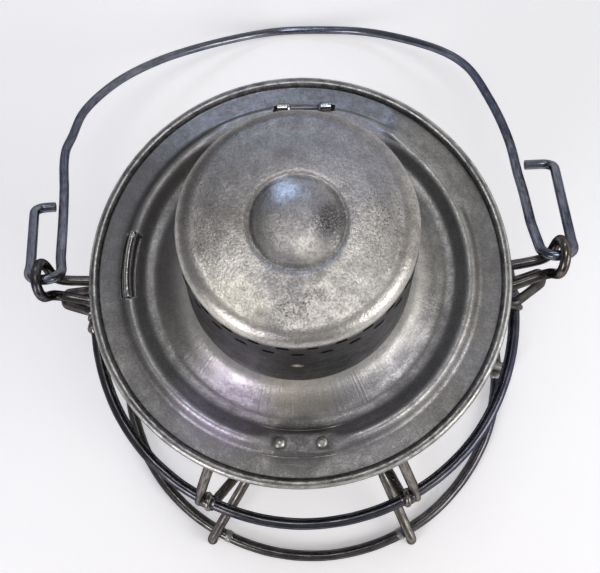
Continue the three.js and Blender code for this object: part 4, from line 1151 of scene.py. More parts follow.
def eyeLine(turnSide):
    middle = bail["inner"] + bail["bend"]
    wires = eye["wire"] + bail["wire"]
    room = bail["bend"] - wires - 1.5 * clearance
    strand = guard["uprightWire"] + clearance + eye["wire"] + clearance / 2
    root = collar["radius"] + clearance + eye["wire"]
    level = bail["pivot"] - eye["rootDrop"]

    def half(side):
        line = [point(root, side * strand, level), point((root + bail["inner"]) / 2, side * strand, level)]
        for out, up, across in eye["route"]:
            line.append(point(middle + out * room, side * across * wires, bail["pivot"] + up * wires))
        return line
    line = half(-1) + half(1)[::-1][1:]
    leaning = [p + Vector((0, leanAt(p.x, turnSide) - leanAt(root, turnSide), 0)) for p in line]
    return throughPoints(leaning, 160)


def stayLine(turnSide):
    across = guard["uprightWire"] + clearance + stay["wire"] + clearance / 2
    pinch = stay["wire"] + clearance
    root = collar["radius"] + clearance
    knee = (2 * stay["rootHeight"] + stay["tipHeight"]) / 3
    side = guard["guardRadius"] - guard["wrapRadius"]
    lean = leanAt(stay["reach"], turnSide)
    corners = [point(root, -across, stay["rootHeight"]), point(side, -across, knee),
               point(stay["reach"], lean - pinch, stay["tipHeight"]),
               point(stay["reach"], lean + pinch, stay["tipHeight"]),
               point(side, across, knee), point(root, across, stay["rootHeight"])]
    return bentLine(corners, pinch)


def bailLine():
    outer = bail["inner"] + 2 * bail["bend"]
    stub = bail["bend"] + bail["corner"]

    def flat(x, y):
        return point(x, y, 0)
    left = bentLine([flat(-bail["inner"] - bail["leftLean"] - 2 * bail["wire"], bail["leftHook"]),
                     flat(-outer - bail["leftLean"], bail["leftHook"]), flat(-outer, stub)], bail["corner"])
    right = bentLine([flat(outer, stub), flat(outer + bail["rightLean"], bail["rightHook"]),
                      flat(bail["inner"] + 2 * bail["wire"], bail["rightHook"])], bail["corner"])
    arch = [flat(x * bail["inner"], y * bail["length"]) for x, y in bail["arch"]]

    def bend(first, last):
        radius = bail["bend"]
        return [flat((first + last) / 2 + (first - last) / 2 * cos(turn),
                     radius - bail["dip"] - radius * sin(turn))
                for turn in (pi * i / 20 for i in range(21))]
    line = left + bend(-outer, -bail["inner"]) + throughPoints(arch, 200) + bend(bail["inner"], outer) + right
    tilt = Matrix.Rotation(pi / 2 - radians(bail["tilt"]), 3, "X")
    tilt = Matrix.Rotation(radians(bail["yaw"]), 3, "Z") @ tilt
    return [tilt @ p + Vector((0, bail["aside"], bail["pivot"])) for p in line]


def makeEars():
    for side, angle, turnSide in (("left", pi, -1), ("right", 0.0, 1)):
        line = turnedAbout(softened(evenLine(eyeLine(turnSide), 0.7), 3), angle)
        wirePiece(f"eye_wire_{side}", f"ear_{side}", "frame", "eye", line, eye["wire"], 18, 0.03,
                  20.0 + angle)
        line = turnedAbout(softened(evenLine(stayLine(turnSide), 0.7), 2), angle)
        wirePiece(f"stay_wire_{side}", f"ear_stay_{side}", "frame", "eye", line, stay["wire"], 16, 0.03,
                  24.0 + angle)


def makeBail():
    line = softened(evenLine(bailLine(), 0.9), 4)
    wirePiece("bail_wire", "bail", "bail", "bail", line, bail["wire"], 18, 0.012, 31.0)


makeEars()
makeBail()
report("eyes, stays and bail")


# Lid pan: rolled rim, bare band, bead with two flattened pads, channel and neck

lid = {
    "radius": 75, "rimHeight": 186.4, "roll": 1.9, "rise": 10.6, "neck": 38.1, "lip": 7,
    "profile": [(0.895, 0.05), (0.71, 0.14), (0.68, 0.18), (0.645, 0.42), (0.605, 0.5), (0.55, 0.45),
                (0.495, 0.29), (0.445, 0.185), (0.36, 0.165), (0.3, 0.27), (0.2, 0.6), (0.1, 0.88), (0, 1)],
    "feet": (0.455, 0.71), "footShare": 0.145, "padRise": 1.1, "frontPad": 13, "backPad": 29, "padBlend": 6,
    "crest": (0.605, 0.5), "softness": 0.85, "padSoft": 0.7, "groove": (71.6, 0.3, 0.35),
    "waves": ((0.14, 21), (0.05, 8)), "segments": 720, "steps": 190,
}
slant = {"degrees": 0.35, "about": 66}  # the slanted ends of the back pad and of the platform
backEnd = {"angle": 31.2, "soft": 2.4, "softer": 7, "between": (65.5, 61.5)}
platform = {"low": 22, "high": 59, "margin": 8, "softLow": 3.5, "softHigh": 3, "sink": 0.3}
strap = {
    "angle": 175.5, "half": 10.8, "radius": 60.5, "base": 190.2, "rise": 3.6, "width": 1.8, "wall": 0.7,
    "slot": 2.75, "floor": 187.9, "softEnd": 0.35, "softSide": 0.25, "curl": 0.35,
}
humps = {
    "aside": 2.7, "inner": 4.7, "outer": 9.6, "y": 62.5, "height": 189.3, "size": 1.75, "bore": 1.25,
    "tip": 1.5, "hole": 1.2, "depth": 2.2, "seam": (0.9, 0.34, 0.4),
}


def lidRadiusAt(share):
    return lid["neck"] + share * (lid["radius"] - lid["neck"])


def lidHeightAt(share):
    return lid["rimHeight"] + share * lid["rise"]


def angleBetween(first, second):
    return abs((first - second + 180) % 360 - 180)


def within(value, limit, soft):
    return ease(value, limit + soft, limit - soft)


def padShare(turn, radius):
    # How far a pad flattens the bead. On the right the back pad ends softly along a slanted line.
    place = degrees(turn)
    blendAngle = lid["padBlend"]
    front = 1 - ease(angleBetween(place, -90), lid["frontPad"] - blendAngle, lid["frontPad"] + blendAngle)
    aside = (place - 90 + 180) % 360 - 180
    if aside < 0:
        soft = backEnd["soft"] + backEnd["softer"] * ease(radius, *backEnd["between"])
        slanted = -aside + slant["degrees"] * (radius - slant["about"])
        back = 1 - ease(slanted, backEnd["angle"] - soft, backEnd["angle"] + soft)
    else:
        back = 1 - ease(aside, lid["backPad"] - blendAngle, lid["backPad"] + blendAngle)
    return max(front, back)


def platformShare(turn, radius):
    # The bead slopes straight down to the rim over this part of the lid.
    low, high, margin = platform["low"], platform["high"], platform["margin"]
    place = degrees(turn) % 360
    if not low - margin < place < high + margin:
        return 0.0
    end = high - slant["degrees"] * (slant["about"] - radius)
    softLow, softHigh = platform["softLow"], platform["softHigh"]
    return ease(place, low - softLow, low + softLow) * (1 - ease(place, end - softHigh, end + softHigh))


def lidTop():
    # The pan's height from the neck outwards, with every bend eased as the press leaves it.
    fine = smoothProfile([(lidRadiusAt(out), lidHeightAt(up)) for out, up in lid["profile"]], 600)
    radii = np.array([radius for radius, _ in fine])
    heights = np.array([height for _, height in fine])
    step = radii[1] - radii[0]
    reach = int(3 * lid["softness"] / step)
    spread = np.exp(-0.5 * (np.arange(-reach, reach + 1) * step / lid["softness"]) ** 2)
    padded = np.concatenate([2 * heights[0] - heights[reach:0:-1], heights,
                             2 * heights[-1] - heights[-2:-reach - 2:-1]])
    smooth = np.convolve(padded, spread / spread.sum(), "valid")
    wanted = np.linspace(radii[0], radii[-1], lid["steps"])
    return list(zip(wanted, np.interp(wanted, radii, smooth)))


lidProfile = lidTop()
padLevel = lidHeightAt(lid["footShare"]) + lid["padRise"]


def lidHeight(turn, radius, height):
    low, high = (lidRadiusAt(share) for share in lid["feet"])
    if low < radius < high:
        above = height - padLevel
        height -= (above + hypot(above, lid["padSoft"])) / 2 * padShare(turn, radius)
    crest, edge = lidRadiusAt(lid["crest"][0]), lidRadiusAt(lid["profile"][0][0])
    if crest - 1 < radius < edge:
        level = lidHeightAt(lid["crest"][1]) - platform["sink"]
        slope = level + (lidHeightAt(lid["profile"][0][1]) - level) * (radius - crest) / (edge - crest)
        height += max(slope - height, 0) * platformShare(turn, radius) * ease(radius, crest - 1, crest + 1)
    place, deep, wide = lid["groove"]
    height -= deep * exp(-((radius - place) / wide) ** 2)
    around = within(angleBetween(degrees(turn), strap["angle"]), strap["half"], strap["softEnd"])
    beside = within(abs(radius - strap["radius"]), strap["slot"], strap["softSide"])
    height -= max(height - strap["floor"], 0) * around * beside
    x, y = radius * cos(turn), radius * sin(turn)
    if y > 0:
        deep, wide, shift = humps["seam"]
        seam = ease(abs(x - humps["aside"]), humps["inner"] + 1, humps["inner"] - 0.5)
        height -= deep * seam * exp(-((y - humps["y"] + shift) / wide) ** 2)
        across = abs(abs(x - humps["aside"]) - humps["outer"] - humps["hole"] / 2)
        pit = within(across, humps["hole"] / 2, 0.25)
        height -= humps["depth"] * pit * ease(abs(y - humps["y"]), humps["bore"] + 0.3, humps["bore"] - 0.2)
    return height + wavy(Vector((x, y, 0)), *lid["waves"], (3, 1, 0))


def lidOutline(turn):
    size, middle = lid["roll"], lid["radius"] - lid["roll"]
    roll = []
    for i in range(21):
        angle = radians(-165 + 330 * i / 20)
        roll.append((middle + size * cos(angle), lid["rimHeight"] + size * sin(angle)))
    over = [(radius, lidHeight(turn, radius, height)) for radius, height in reversed(lidProfile)]
    under = [(radius, height - sheet) for radius, height in reversed(over)]
    neckTop = lidHeightAt(1) + lid["lip"]
    neck = [(lid["neck"], lidHeightAt(1) + 1), *sheetEnd(lid["neck"], neckTop),
            (lid["neck"] - sheet, lidHeightAt(1) - sheet)]
    return roll + over + neck + under[1:]


def makeLidPan():
    points, faces = spun(lidOutline, lid["segments"])
    makePiece("lid_sheet", points, faces, "lid", "lid", ("lid_pan",), angle=50)


def makeStrap():
    # A half-round strap that stands in its trench, with the ends let into the bead.
    steps, sides = 72, 24
    points = []
    for i in range(steps + 1):
        share = i / steps
        turn = radians(strap["angle"] + (strap["half"] + 0.5) * (2 * share - 1))
        near = min(share, 1 - share)
        lift = strap["rise"] * (0.8 + 0.2 * ease(near, 0.0, 0.12)) + strap["curl"] * ease(near, 0.035, 0.0)
        for wall, order in ((0.0, range(sides + 1)), (strap["wall"], range(sides, -1, -1))):
            for k in order:
                angle = pi * k / sides
                radius = strap["radius"] + (strap["width"] - wall) * cos(angle)
                height = strap["base"] + (lift - wall) * sin(angle)
                points.append(polar(radius, turn, height))
    ring = 2 * (sides + 1)
    faces = ringFaces(steps + 1, ring) + sleeveEnds(steps * ring, ring, sides)
    makePiece("lid_strap", points, faces, "lid", "strap", angle=45)


def sleeveEnds(last, ring, sides):
    faces = []
    for end, flip in ((0, True), (last, False)):
        for k in range(sides):
            quad = (end + k, end + k + 1, end + ring - 2 - k, end + ring - 1 - k)
            faces.append(quad[::-1] if flip else quad)
    return faces


def makeHumps():
    # Half-round tongues over the ends of the hinge wire: open outside, closed in a round tip inside.
    steps, sides = 24, 24
    inner, outer = humps["inner"], humps["outer"]
    for side, name in ((-1, "left"), (1, "right")):
        points = []
        for i in range(steps + 1):
            along = inner + (outer - inner) * (i / steps) ** 1.4
            close = max(1 - (along - inner) / humps["tip"], 0)
            swell = sqrt(max(1 - close ** 2, 0.02))
            for size, order in ((humps["size"], range(sides + 1)), (humps["bore"], range(sides, -1, -1))):
                for k in order:
                    angle = pi * (-0.12 + 1.24 * k / sides)
                    out = size * swell
                    points.append((humps["aside"] + side * along, humps["y"] + out * cos(angle),
                                   humps["height"] + out * sin(angle)))
        ring = 2 * (sides + 1)
        faces = ringFaces(steps + 1, ring) + sleeveEnds(steps * ring, ring, sides)
        makePiece(f"lid_hump_{name}", points, faces, "lid", "strap", angle=45)


makeLidPan()
makeStrap()
makeHumps()
report("lid pan")


# Smoke dome

dome = {
    "radius": 39.2, "foot": 197.3, "top": 258, "shoulder": 6.5, "crown": 1.2, "boss": 14.1, "bossRise": 2.6,
    "ventRows": (248.97, 240.98), "vents": 26, "ventTurn": -1, "ventWidth": 4.1, "ventHeight": 1.5,
    "louvre": 0.14, "louvreReach": 1.6, "taper": 1.0, "lean": 1.4, "draft": 0.7,
    "waves": ((0.1, 13), (0.04, 5)), "dents": 0.12, "flare": (0.25, 1.5),
}
domeDent = {"height": 224, "angle": -90.5, "deep": 0.5, "tall": 0.8, "wide": 4.5}


def domeShare(height):
    return min(max((height - dome["foot"]) / (dome["top"] - dome["shoulder"] - dome["foot"]), 0.0), 1.0)


def domeCap():
    # The cap from the shoulder to the middle, as (radius, height).
    r, top = dome["radius"] - dome["draft"], dome["top"]
    bend = dome["shoulder"] - dome["crown"]
    shoulder = top - dome["shoulder"]
    wide = bend + dome["taper"]
    line = []
    for i in range(1, 17):
        turn = pi / 2 * i / 16
        line.append((r - wide * (1 - cos(turn)), shoulder + bend * sin(turn)))
    boss = dome["boss"]
    ridge = smoothProfile([(0, top + dome["bossRise"]), (boss * 0.4, top + dome["bossRise"] * 0.86),
                           (boss * 0.75, top + dome["bossRise"] * 0.5), (boss, top - 0.05),
                           (boss + 1.0, top - 0.5), (boss + 2.8, top - 0.1), (r - wide - 8, top - 0.35),
                           (r - wide, top - dome["crown"])], 70)
    return line + list(reversed(ridge))[1:]


def sootAndShadeSlots(piece, inside, reach):
    # Soot lies on the dome's inner face; the cut edges of its slots carry soot and painted shade, so that the
    # slots read as black.
    edges, hollows = (piece.data.attributes[name].data for name in ("edge", "hollow"))
    for i, vertex in enumerate(piece.data.vertices):
        height = vertex.co.z / mm + standGap
        out = hypot(vertex.co.x / mm - dome["lean"] * domeShare(height), vertex.co.y / mm)
        nearRow = min(abs(height - row) for row in dome["ventRows"]) < reach
        if height < dome["top"] - dome["shoulder"] and (out < inside or nearRow and edges[i].value > 0.25):
            edges[i].value, hollows[i].value = 0.0, 1.0


def makeDome():
    r = dome["radius"]
    halfWide = dome["ventWidth"] / 2 / r
    halfHigh = dome["ventHeight"] / 2
    holes = []
    for row, height in enumerate(dome["ventRows"]):
        for i in range(dome["vents"]):
            turn = tau * (i + row / 2) / dome["vents"] + radians(dome["ventTurn"])
            for share, tall in ((1, 0.6), (0.84, 1)):  # two boxes make one slot with clipped corners
                wide, high = halfWide * share, halfHigh * tall
                holes.append(hole(turn - wide, turn + wide, height - high, height + high))
    columns = holeColumns(holes, radians(1.25))
    cap = domeCap()
    shoulder = dome["top"] - dome["shoulder"]
    levels = sorted({round(edge, 6) for box in holes for edge in box[2:]})
    wall = gridWith(dome["foot"], shoulder, 0.6, levels)
    capStart = shoulder + 100  # rows from here on are places along the cap
    heights = wall + [capStart + i for i in range(len(cap) - 1)]

    def outline(row):
        if row <= shoulder:
            return r - dome["draft"] * domeShare(row), row
        return cap[int(round(row - capStart))]

    def lipAt(turn, height):
        # The sheet swells below each slot and is pressed in above it.
        lift = 0.0
        step = tau / dome["vents"]
        for row, level in enumerate(dome["ventRows"]):
            below, above = level - halfHigh - height, height - level - halfHigh
            near = abs((turn - radians(dome["ventTurn"]) - row * step / 2 + step / 2) % step - step / 2)
            across = ease(near, halfWide * 1.3, halfWide * 0.7)
            if below > -0.1:
                lift += dome["louvre"] * ease(below, dome["louvreReach"], 0.0) * across
            if above > -0.1:
                lift -= dome["louvre"] * ease(above, dome["louvreReach"], 0.0) * across
        aside = angleBetween(degrees(turn), domeDent["angle"])
        dent = domeDent["deep"] * exp(-((height - domeDent["height"]) / domeDent["tall"]) ** 2)
        return lift + dent * exp(-(aside / domeDent["wide"]) ** 2)

    def surface(inset):
        def at(turn, row):
            radius, height = outline(row)
            if row <= shoulder:
                out = radius - inset
                if inset == 0:
                    deep, tall = dome["flare"]
                    flare = deep * ease(height, dome["foot"] + tall, dome["foot"])
                    out += lipAt(turn, height) - flare
                place = Vector((2.5 * cos(turn), 2.5 * sin(turn), height * 0.06))
                out += min(dome["dents"] * noise.noise(place), 0.0)
                aside = dome["lean"] * domeShare(height)
                return (out * cos(turn) + aside, out * sin(turn), height)
            share = (dome["radius"] - dome["draft"] - radius) / (dome["shoulder"] - dome["crown"])
            away = min(max(share, 0.0), 1.0)
            out = radius - inset * (1 - away)
            way = Vector(polar(out, turn, 0))
            wave = wavy(way, *dome["waves"], (7, 0, 0))
            return (way.x + dome["lean"], way.y, height - inset * away + wave * away)
        return at
    points, faces = pierced(columns, heights, surface(0), surface(sheet), insideHoles(holes))
    shape = Shape().add(points, faces)
    closeCap(shape, cap[-2][0])
    piece = makePiece("dome_sheet", shape.points, shape.faces, "lid", "dome", ("smoke_dome",), angle=42)
    # soot on the inner face, and soot with painted shade on the slot edges
    sootAndShadeSlots(piece, r - dome["draft"] - sheet / 2, halfHigh + 0.1)


def closeCap(shape, radius):
    # Closes the small opening that the grid leaves in the middle of the dome's top, above and below.
    shell = bmesh.new()
    for place in shape.points:
        shell.verts.new(place)
    shell.verts.ensure_lookup_table()
    for face in shape.faces:
        shell.faces.new([shell.verts[i] for i in face])
    inner = [f for f in shell.faces
             if all(hypot(v.co.x - dome["lean"], v.co.y) < radius + 0.05 for v in f.verts)
             and max(v.co.z for v in f.verts) - min(v.co.z for v in f.verts) > sheet * 0.6]
    bmesh.ops.delete(shell, geom=inner, context="FACES_ONLY")
    loops = [edge for edge in shell.edges if len(edge.link_faces) == 1]
    bmesh.ops.holes_fill(shell, edges=loops, sides=0)
    shell.verts.index_update()
    shape.points = [v.co.copy() for v in shell.verts]
    shape.faces = [tuple(v.index for v in f.verts) for f in shell.faces]
    shell.free()


baffle = {"low": 232, "rise": 7, "bore": 22}
retainer = {"low": 182, "gap": 2.2, "top": 0.15, "flange": 0.42}


def makeLidInside():
    r = dome["radius"] - dome["taper"] - sheet - clearance
    low, high, bore = baffle["low"], baffle["low"] + baffle["rise"], baffle["bore"]
    outline = [(bore, high), (bore + 0.3, high - 0.3), (r - 0.3, low), (r, low + 0.2), (r, low + sheet),
               (bore + 0.2, high + sheet), (bore, high + sheet - 0.2)]
    turnedPiece("baffle_sheet", "draft_baffle", "lid", "inside", outline, 120)
    r, low = globe["neck"] + retainer["gap"], retainer["low"]
    top = lidHeightAt(retainer["top"]) - sheet - clearance
    flange = lidRadiusAt(retainer["flange"])
    outline = [(r, low + 0.2), (r + 0.2, low), (r + sheet - 0.2, low), (r + sheet, low + 0.2),
               (r + sheet, top - sheet - 0.6), (r + sheet + 0.6, top - sheet), (flange - 0.2, top - sheet),
               (flange, top - sheet / 2), (flange - 0.2, top), (r + 0.7, top), (r, top - 0.7)]
    turnedPiece("retainer_sheet", "globe_retainer", "lid", "inside", outline, 120)


makeDome()
makeLidInside()
report("smoke dome")


# Hinge and latch

hinge = {
    "radius": 62.5, "aside": 2.7, "height": 184.6, "wire": 1.0, "half": 9.6, "knuckle": 3.8, "bore": 1.35,
    "wall": 0.8, "drop": 13, "hump": 4.5, "lift": 4.7,
}
latch = {
    "spacing": 14.6, "aside": -0.5, "place": 59.2, "head": 2.1, "shank": 1.0, "dome": 1.6, "width": 21,
    "depth": 4, "strip": 12.6, "thick": 0.8, "drop": 15, "lip": 2.5,
}


def makeHinge():
    inner = hinge["knuckle"] + 4 * clearance
    outer = hinge["half"] - hinge["hump"] + clearance
    y, low = hinge["radius"], hinge["height"]
    high = low + hinge["lift"]
    corners = [point(-hinge["half"], y, high), point(-outer - clearance, y, high), point(-inner, y, low),
               point(inner, y, low), point(outer + clearance, y, high), point(hinge["half"], y, high)]
    line = [p + Vector((hinge["aside"], 0, 0)) for p in evenLine(bentLine(corners, hinge["wire"]), 0.5)]
    wirePiece("hinge_pin", "hinge_wire", "lid", "eye", line, hinge["wire"], 14, 0.03, 40.0)

    outer = hinge["bore"] + hinge["wall"]
    wall = collar["radius"] + clearance
    bottom = low - hinge["drop"]
    loop = [(wall, bottom), (wall + hinge["wall"], bottom), (wall + hinge["wall"], low - 2 * outer),
            (y - 0.6, low - outer * 0.98)]
    loop += [(y + outer * cos(turn), low + outer * sin(turn))
             for turn in (-pi / 2 + pi * i / 14 for i in range(15))]
    loop += [(y - outer * 0.75, low + outer * 0.66), (y - outer, low), (wall, low - 1.6 * outer)]
    piece = extruded("hinge_strap", "hinge_leaf", "frame", loop, hinge["knuckle"], hinge["aside"], 0.12)
    rim = circle(y, low, hinge["bore"], -1)
    reach = hinge["knuckle"] + 1
    cutter = [(x + hinge["aside"], a, b) for x in (-reach, reach) for a, b in rim]
    cutWith(piece, cutter, prismFaces(len(rim)))


def extruded(name, replaced, body, loop, half, aside, bevel):
    # A profile of spring steel in (y, height), drawn out to both sides.
    points = [(x + aside, a, b) for x in (-half, half) for a, b in loop]
    return makePiece(name, points, prismFaces(len(loop)), body, "spring", (replaced,), bevel=bevel)


def makeLatch():
    under = padLevel - sheet - clearance
    thick = latch["thick"]
    w, d = latch["width"] / 2, latch["depth"] / 2
    y = -latch["place"]
    corners = [(-w + 0.8, -d), (w - 0.8, -d), (w, -d + 0.8), (w, d - 0.8), (w - 0.8, d), (-w + 0.8, d),
               (-w, d - 0.8), (-w, -d + 0.8)]
    points = [(a + latch["aside"], y + b, level) for level in (under - thick, under) for a, b in corners]
    plate = makePiece("latch_bar", points, prismFaces(8), "lid", "spring", ("latch_plate",), bevel=0.1)
    for side, away in (("left", -1), ("right", 1)):
        x = latch["aside"] + away * latch["spacing"] / 2
        rim = circle(x, y, latch["shank"] + clearance)
        cutter = [(a, b, level) for level in (under - 3, under + 3) for a, b in rim]
        cutWith(plate, cutter, prismFaces(len(rim)))
        tail = under - thick - clearance
        seatTop, edge = padLevel + 0.05, 0.25
        r = latch["head"]
        outline = [(0, tail - latch["shank"]), (r * 0.7, tail - latch["shank"]), (r * 0.8, tail - 0.7),
                   (r * 0.8, tail), (latch["shank"], tail), (latch["shank"], seatTop), (r, seatTop),
                   (r, seatTop + edge)]
        outline += [(r * cos(t), seatTop + edge + latch["dome"] * sin(t))
                    for t in (pi / 2 * i / 10 for i in range(1, 10))]
        outline.append((0, seatTop + edge + latch["dome"]))
        points, faces = turned(outline, 40)
        moved = [(p[0] * (1 + 0.05 * noise.noise(Vector((x, p[1], 0)))) + x, p[1] + y, p[2]) for p in points]
        makePiece(f"latch_rivet_head_{side}", moved, faces, "lid", "rivet", (f"latch_rivet_{side}",))
    top = under - thick - 2 * clearance - latch["shank"] - thick
    face, foot = -collar["radius"] - clearance, top - latch["drop"]
    lip = latch["lip"]
    loop = [(face, top - thick), (face, foot), (face - lip, foot - lip), (face - lip - thick, foot - lip),
            (face - thick, foot), (face - thick, top - thick), (face - thick - lip, top),
            (face - lip, top + thick / 2)]
    extruded("latch_strip", "latch_spring", "latch", loop, latch["strip"] / 2, latch["aside"], 0.15)


makeHinge()
makeLatch()
report("hinge and latch")


# Fount, burner and wick raiser

tank = {"radius": 46, "bottom": 6, "shoulder": 36, "top": 43, "neck": 15, "neckTop": 46}
burner = {
    "ring": 2, "radius": 14, "top": 58, "topRadius": 8, "wall": 0.6, "ridges": 60, "ridge": 0.12,
    "holes": 30, "holeShare": 0.42, "holeRows": ((5, 7), (9, 11)), "shaftRows": (3, 7),
}
raiser = {
    "height": 50, "x": 5.1, "shaft": 1.2, "wheel": 4, "root": 0.78, "teeth": 10, "thick": 1.5, "spacing": 6.4,
    "knob": 5.5, "knobRoot": 0.93, "knobThick": 3, "knobStand": 5, "ridges": 32, "faceEase": 0.93,
}
wick = {"width": 12.7, "thick": 1.6, "bottom": 12, "top": 68, "tubeTop": 66, "tubeBottom": 44.5, "wall": 0.6}


def makeTank():
    r, low, n = tank["radius"], tank["bottom"], tank["neck"]
    shoulder, top, neckTop = tank["shoulder"], tank["top"], tank["neckTop"]
    outline = [(0, low + 0.5), (r - 8, low + 0.5), (r - 6, low), (r - 3, low), (r - 1, low + 0.8),
               (r, low + 3), (r, shoulder - 1.2), (r, shoulder), (r - 0.6, shoulder + 1.2),
               (r - 2, shoulder + 2), (r - 6, shoulder + 2.6), (n + 14, top - 1.4), (n + 8, top),
               (n + 1.5, top + 0.3), (n, top + sheet), *sheetEnd(n, neckTop), (n - sheet, top),
               (n + 7, top - sheet), (r - sheet - 2, shoulder + 1.2), (r - sheet, shoulder),
               (r - sheet, low + 3 + sheet), (r - sheet - 3, low + sheet + 0.2), (0, low + sheet + 0.5)]
    shape = Shape().add(*turned(outline, 144))
    for i in range(well["lugs"]):
        turn = pi / 2 + tau * i / well["lugs"]
        lug = [(0, r - 0.4), (well["lug"], r - 0.4), (well["lug"], well["radius"] + 1.2),
               (well["lug"] - 0.4, well["radius"] + 1.6), (0, well["radius"] + 1.6)]
        points, faces = turned(lug, 24)
        laid = [Vector((p[2], p[0], p[1] + well["lugHeight"])) for p in points]
        shape.add(turnedAbout(laid, turn), faces)
    makePiece("tank_sheet", shape.points, shape.faces, "fount", "tank", ("fount_tank",), angle=40)


def makeBurner():
    inner = tank["neck"] + clearance
    ringTop = tank["neckTop"] + sheet
    ringFoot = tank["top"] + 2 * sheet
    wide = burner["ring"]
    outline = [(inner + wide - 0.2, ringFoot), (inner + wide, ringFoot + 0.2), (inner + wide, ringTop - 0.3),
               (inner + wide - 0.3, ringTop), (inner + 0.3, ringTop), (inner, ringTop - 0.3),
               (inner, ringFoot + 0.2), (inner + 0.2, ringFoot)]

    def ridged(turn):
        ridge = burner["ridge"] * cos(burner["ridges"] * turn) - burner["ridge"]
        return [(radius + ridge if radius > inner + wide - 0.1 else radius, h) for radius, h in outline]
    points, faces = spun(ridged, 480)
    makePiece("burner_ring", points, faces, "fount", "brass", ("burner_collar",), angle=40)

    foot, top, r, tr = ringTop + clearance, burner["top"], burner["radius"], burner["topRadius"]
    side = [(inner + wide, foot + 0.1), (inner + wide, foot + sheet), (r + 0.8, foot + sheet),
            (r, foot + 1.6)]
    side += [(r, foot + 2 + i * 0.5) for i in range(9)]
    slopeStart = len(side)
    side += [(r, top - 4), (r - 0.5, top - 3.2)]
    side += [(r - (r - tr - sheet) * i / 6, top - 4 + 4 * i / 6) for i in range(1, 7)]
    holeWide = burner["holeShare"] * pi / burner["holes"]
    holes = []
    for i in range(burner["holes"]):
        turn = tau * i / burner["holes"]
        holes += [hole(turn - holeWide, turn + holeWide, *rows) for rows in burner["holeRows"]]
    turn = asin(raiser["x"] / r) - pi / 2
    margin = (raiser["shaft"] + clearance) / r
    holes.append(hole(turn - margin, turn + margin, *burner["shaftRows"]))
    columns = holeColumns(holes, radians(3))

    def surface(inset):
        def at(turn, row):
            radius, height = side[int(row)]
            out = radius - inset
            lower = inset * 0.6 if row >= slopeStart else 0
            return polar(out, turn, height - lower)
        return at
    rows = range(len(side))
    points, faces = pierced(columns, rows, surface(0), surface(burner["wall"]), insideHoles(holes))
    makePiece("burner_shell", points, faces, "fount", "brass", ("burner_cap",), angle=40)


def roundedBox(halfX, halfY, corner):
    steps = 4
    loop = []
    for cx, cy, start in ((1, 1, 0), (-1, 1, 90), (-1, -1, 180), (1, -1, 270)):
        for i in range(steps + 1):
            turn = radians(start + 90 * i / steps)
            loop.append((cx * (halfX - corner) + corner * cos(turn),
                         cy * (halfY - corner) + corner * sin(turn)))
    return loop


def makeWick():
    wall = wick["wall"]
    halfX = wick["thick"] / 2 + clearance + wall
    halfY = wick["width"] / 2 + clearance + wall
    outer = roundedBox(halfX, halfY, 1.2)
    inner = roundedBox(halfX - wall, halfY - wall, 0.6)
    tall = raiser["wheel"] + clearance
    window = (raiser["height"] - tall, raiser["height"] + tall)
    reachY = raiser["spacing"] / 2 + raiser["thick"] / 2 + clearance

    def refine(loop):
        fine = []
        for (ax, ay), (bx, by) in zip(loop, loop[1:] + loop[:1]):
            parts = 12 if hypot(bx - ax, by - ay) > 5 else 1
            fine += [(ax + (bx - ax) * k / parts, ay + (by - ay) * k / parts) for k in range(parts)]
        return fine
    outer, inner = refine(outer), refine(inner)
    columns = [tau * i / len(outer) for i in range(len(outer))]
    rows = gridWith(wick["tubeBottom"], wick["tubeTop"], 1.5, window)

    def surface(loop):
        def at(turn, height):
            x, y = loop[int(round(turn / tau * len(loop))) % len(loop)]
            return (x, y, height)
        return at

    def isOpen(turn, height):
        place = turn / tau * len(outer)
        first, second = outer[int(place) % len(outer)], outer[(int(place) + 1) % len(outer)]
        x, y = (first[0] + second[0]) / 2, (first[1] + second[1]) / 2
        return window[0] < height < window[1] and x > halfX - 0.1 and abs(y) < reachY + 0.2
    points, faces = pierced(columns, rows, surface(outer), surface(inner), isOpen)
    makePiece("wick_guide", points, faces, "fount", "brass", ("wick_tube",), angle=40)

    loop = roundedBox(wick["thick"] / 2, wick["width"] / 2, 0.5)
    count = len(loop)
    levels = [wick["bottom"] + 0.3, *[wick["bottom"] + 1 + i * 2.25 for i in range(24)], wick["top"] - 0.3]
    points = []
    for level in levels:
        points += [(x * 0.98, y * 0.99, level) for x, y in loop]
    faces = ringFaces(len(levels), count)
    faces += [tuple(range(count - 1, -1, -1)), tuple(range((len(levels) - 1) * count, len(levels) * count))]
    makePiece("wick_braid", points, faces, "wick", "cotton", ("wick",), angle=60, bevel=0.1)


def makeCog(name, replaced, radius, root, teeth, half, along, soft):
    # A toothed disc on the raiser's shaft, with eased faces and a bore.
    steps = 8 * teeth
    bore = raiser["shaft"] + clearance
    low = raiser["faceEase"]
    rings = [(-half, low), (-half + soft, 1.0), (half - soft, 1.0), (half, low), (half, None), (-half, None)]
    points = []
    for shift, scale in rings:
        for i in range(steps):
            turn = tau * i / steps
            tooth = root + (1 - root) * ease(cos(teeth * turn), -0.5, 0.5)
            reach = scale * radius * tooth if scale else bore
            points.append((raiser["x"] + reach * cos(turn), along + shift,
                           raiser["height"] + reach * sin(turn)))
    makePiece(name, points, ringFaces(len(rings), steps, True), "raiser", "brass", (replaced,), angle=30)


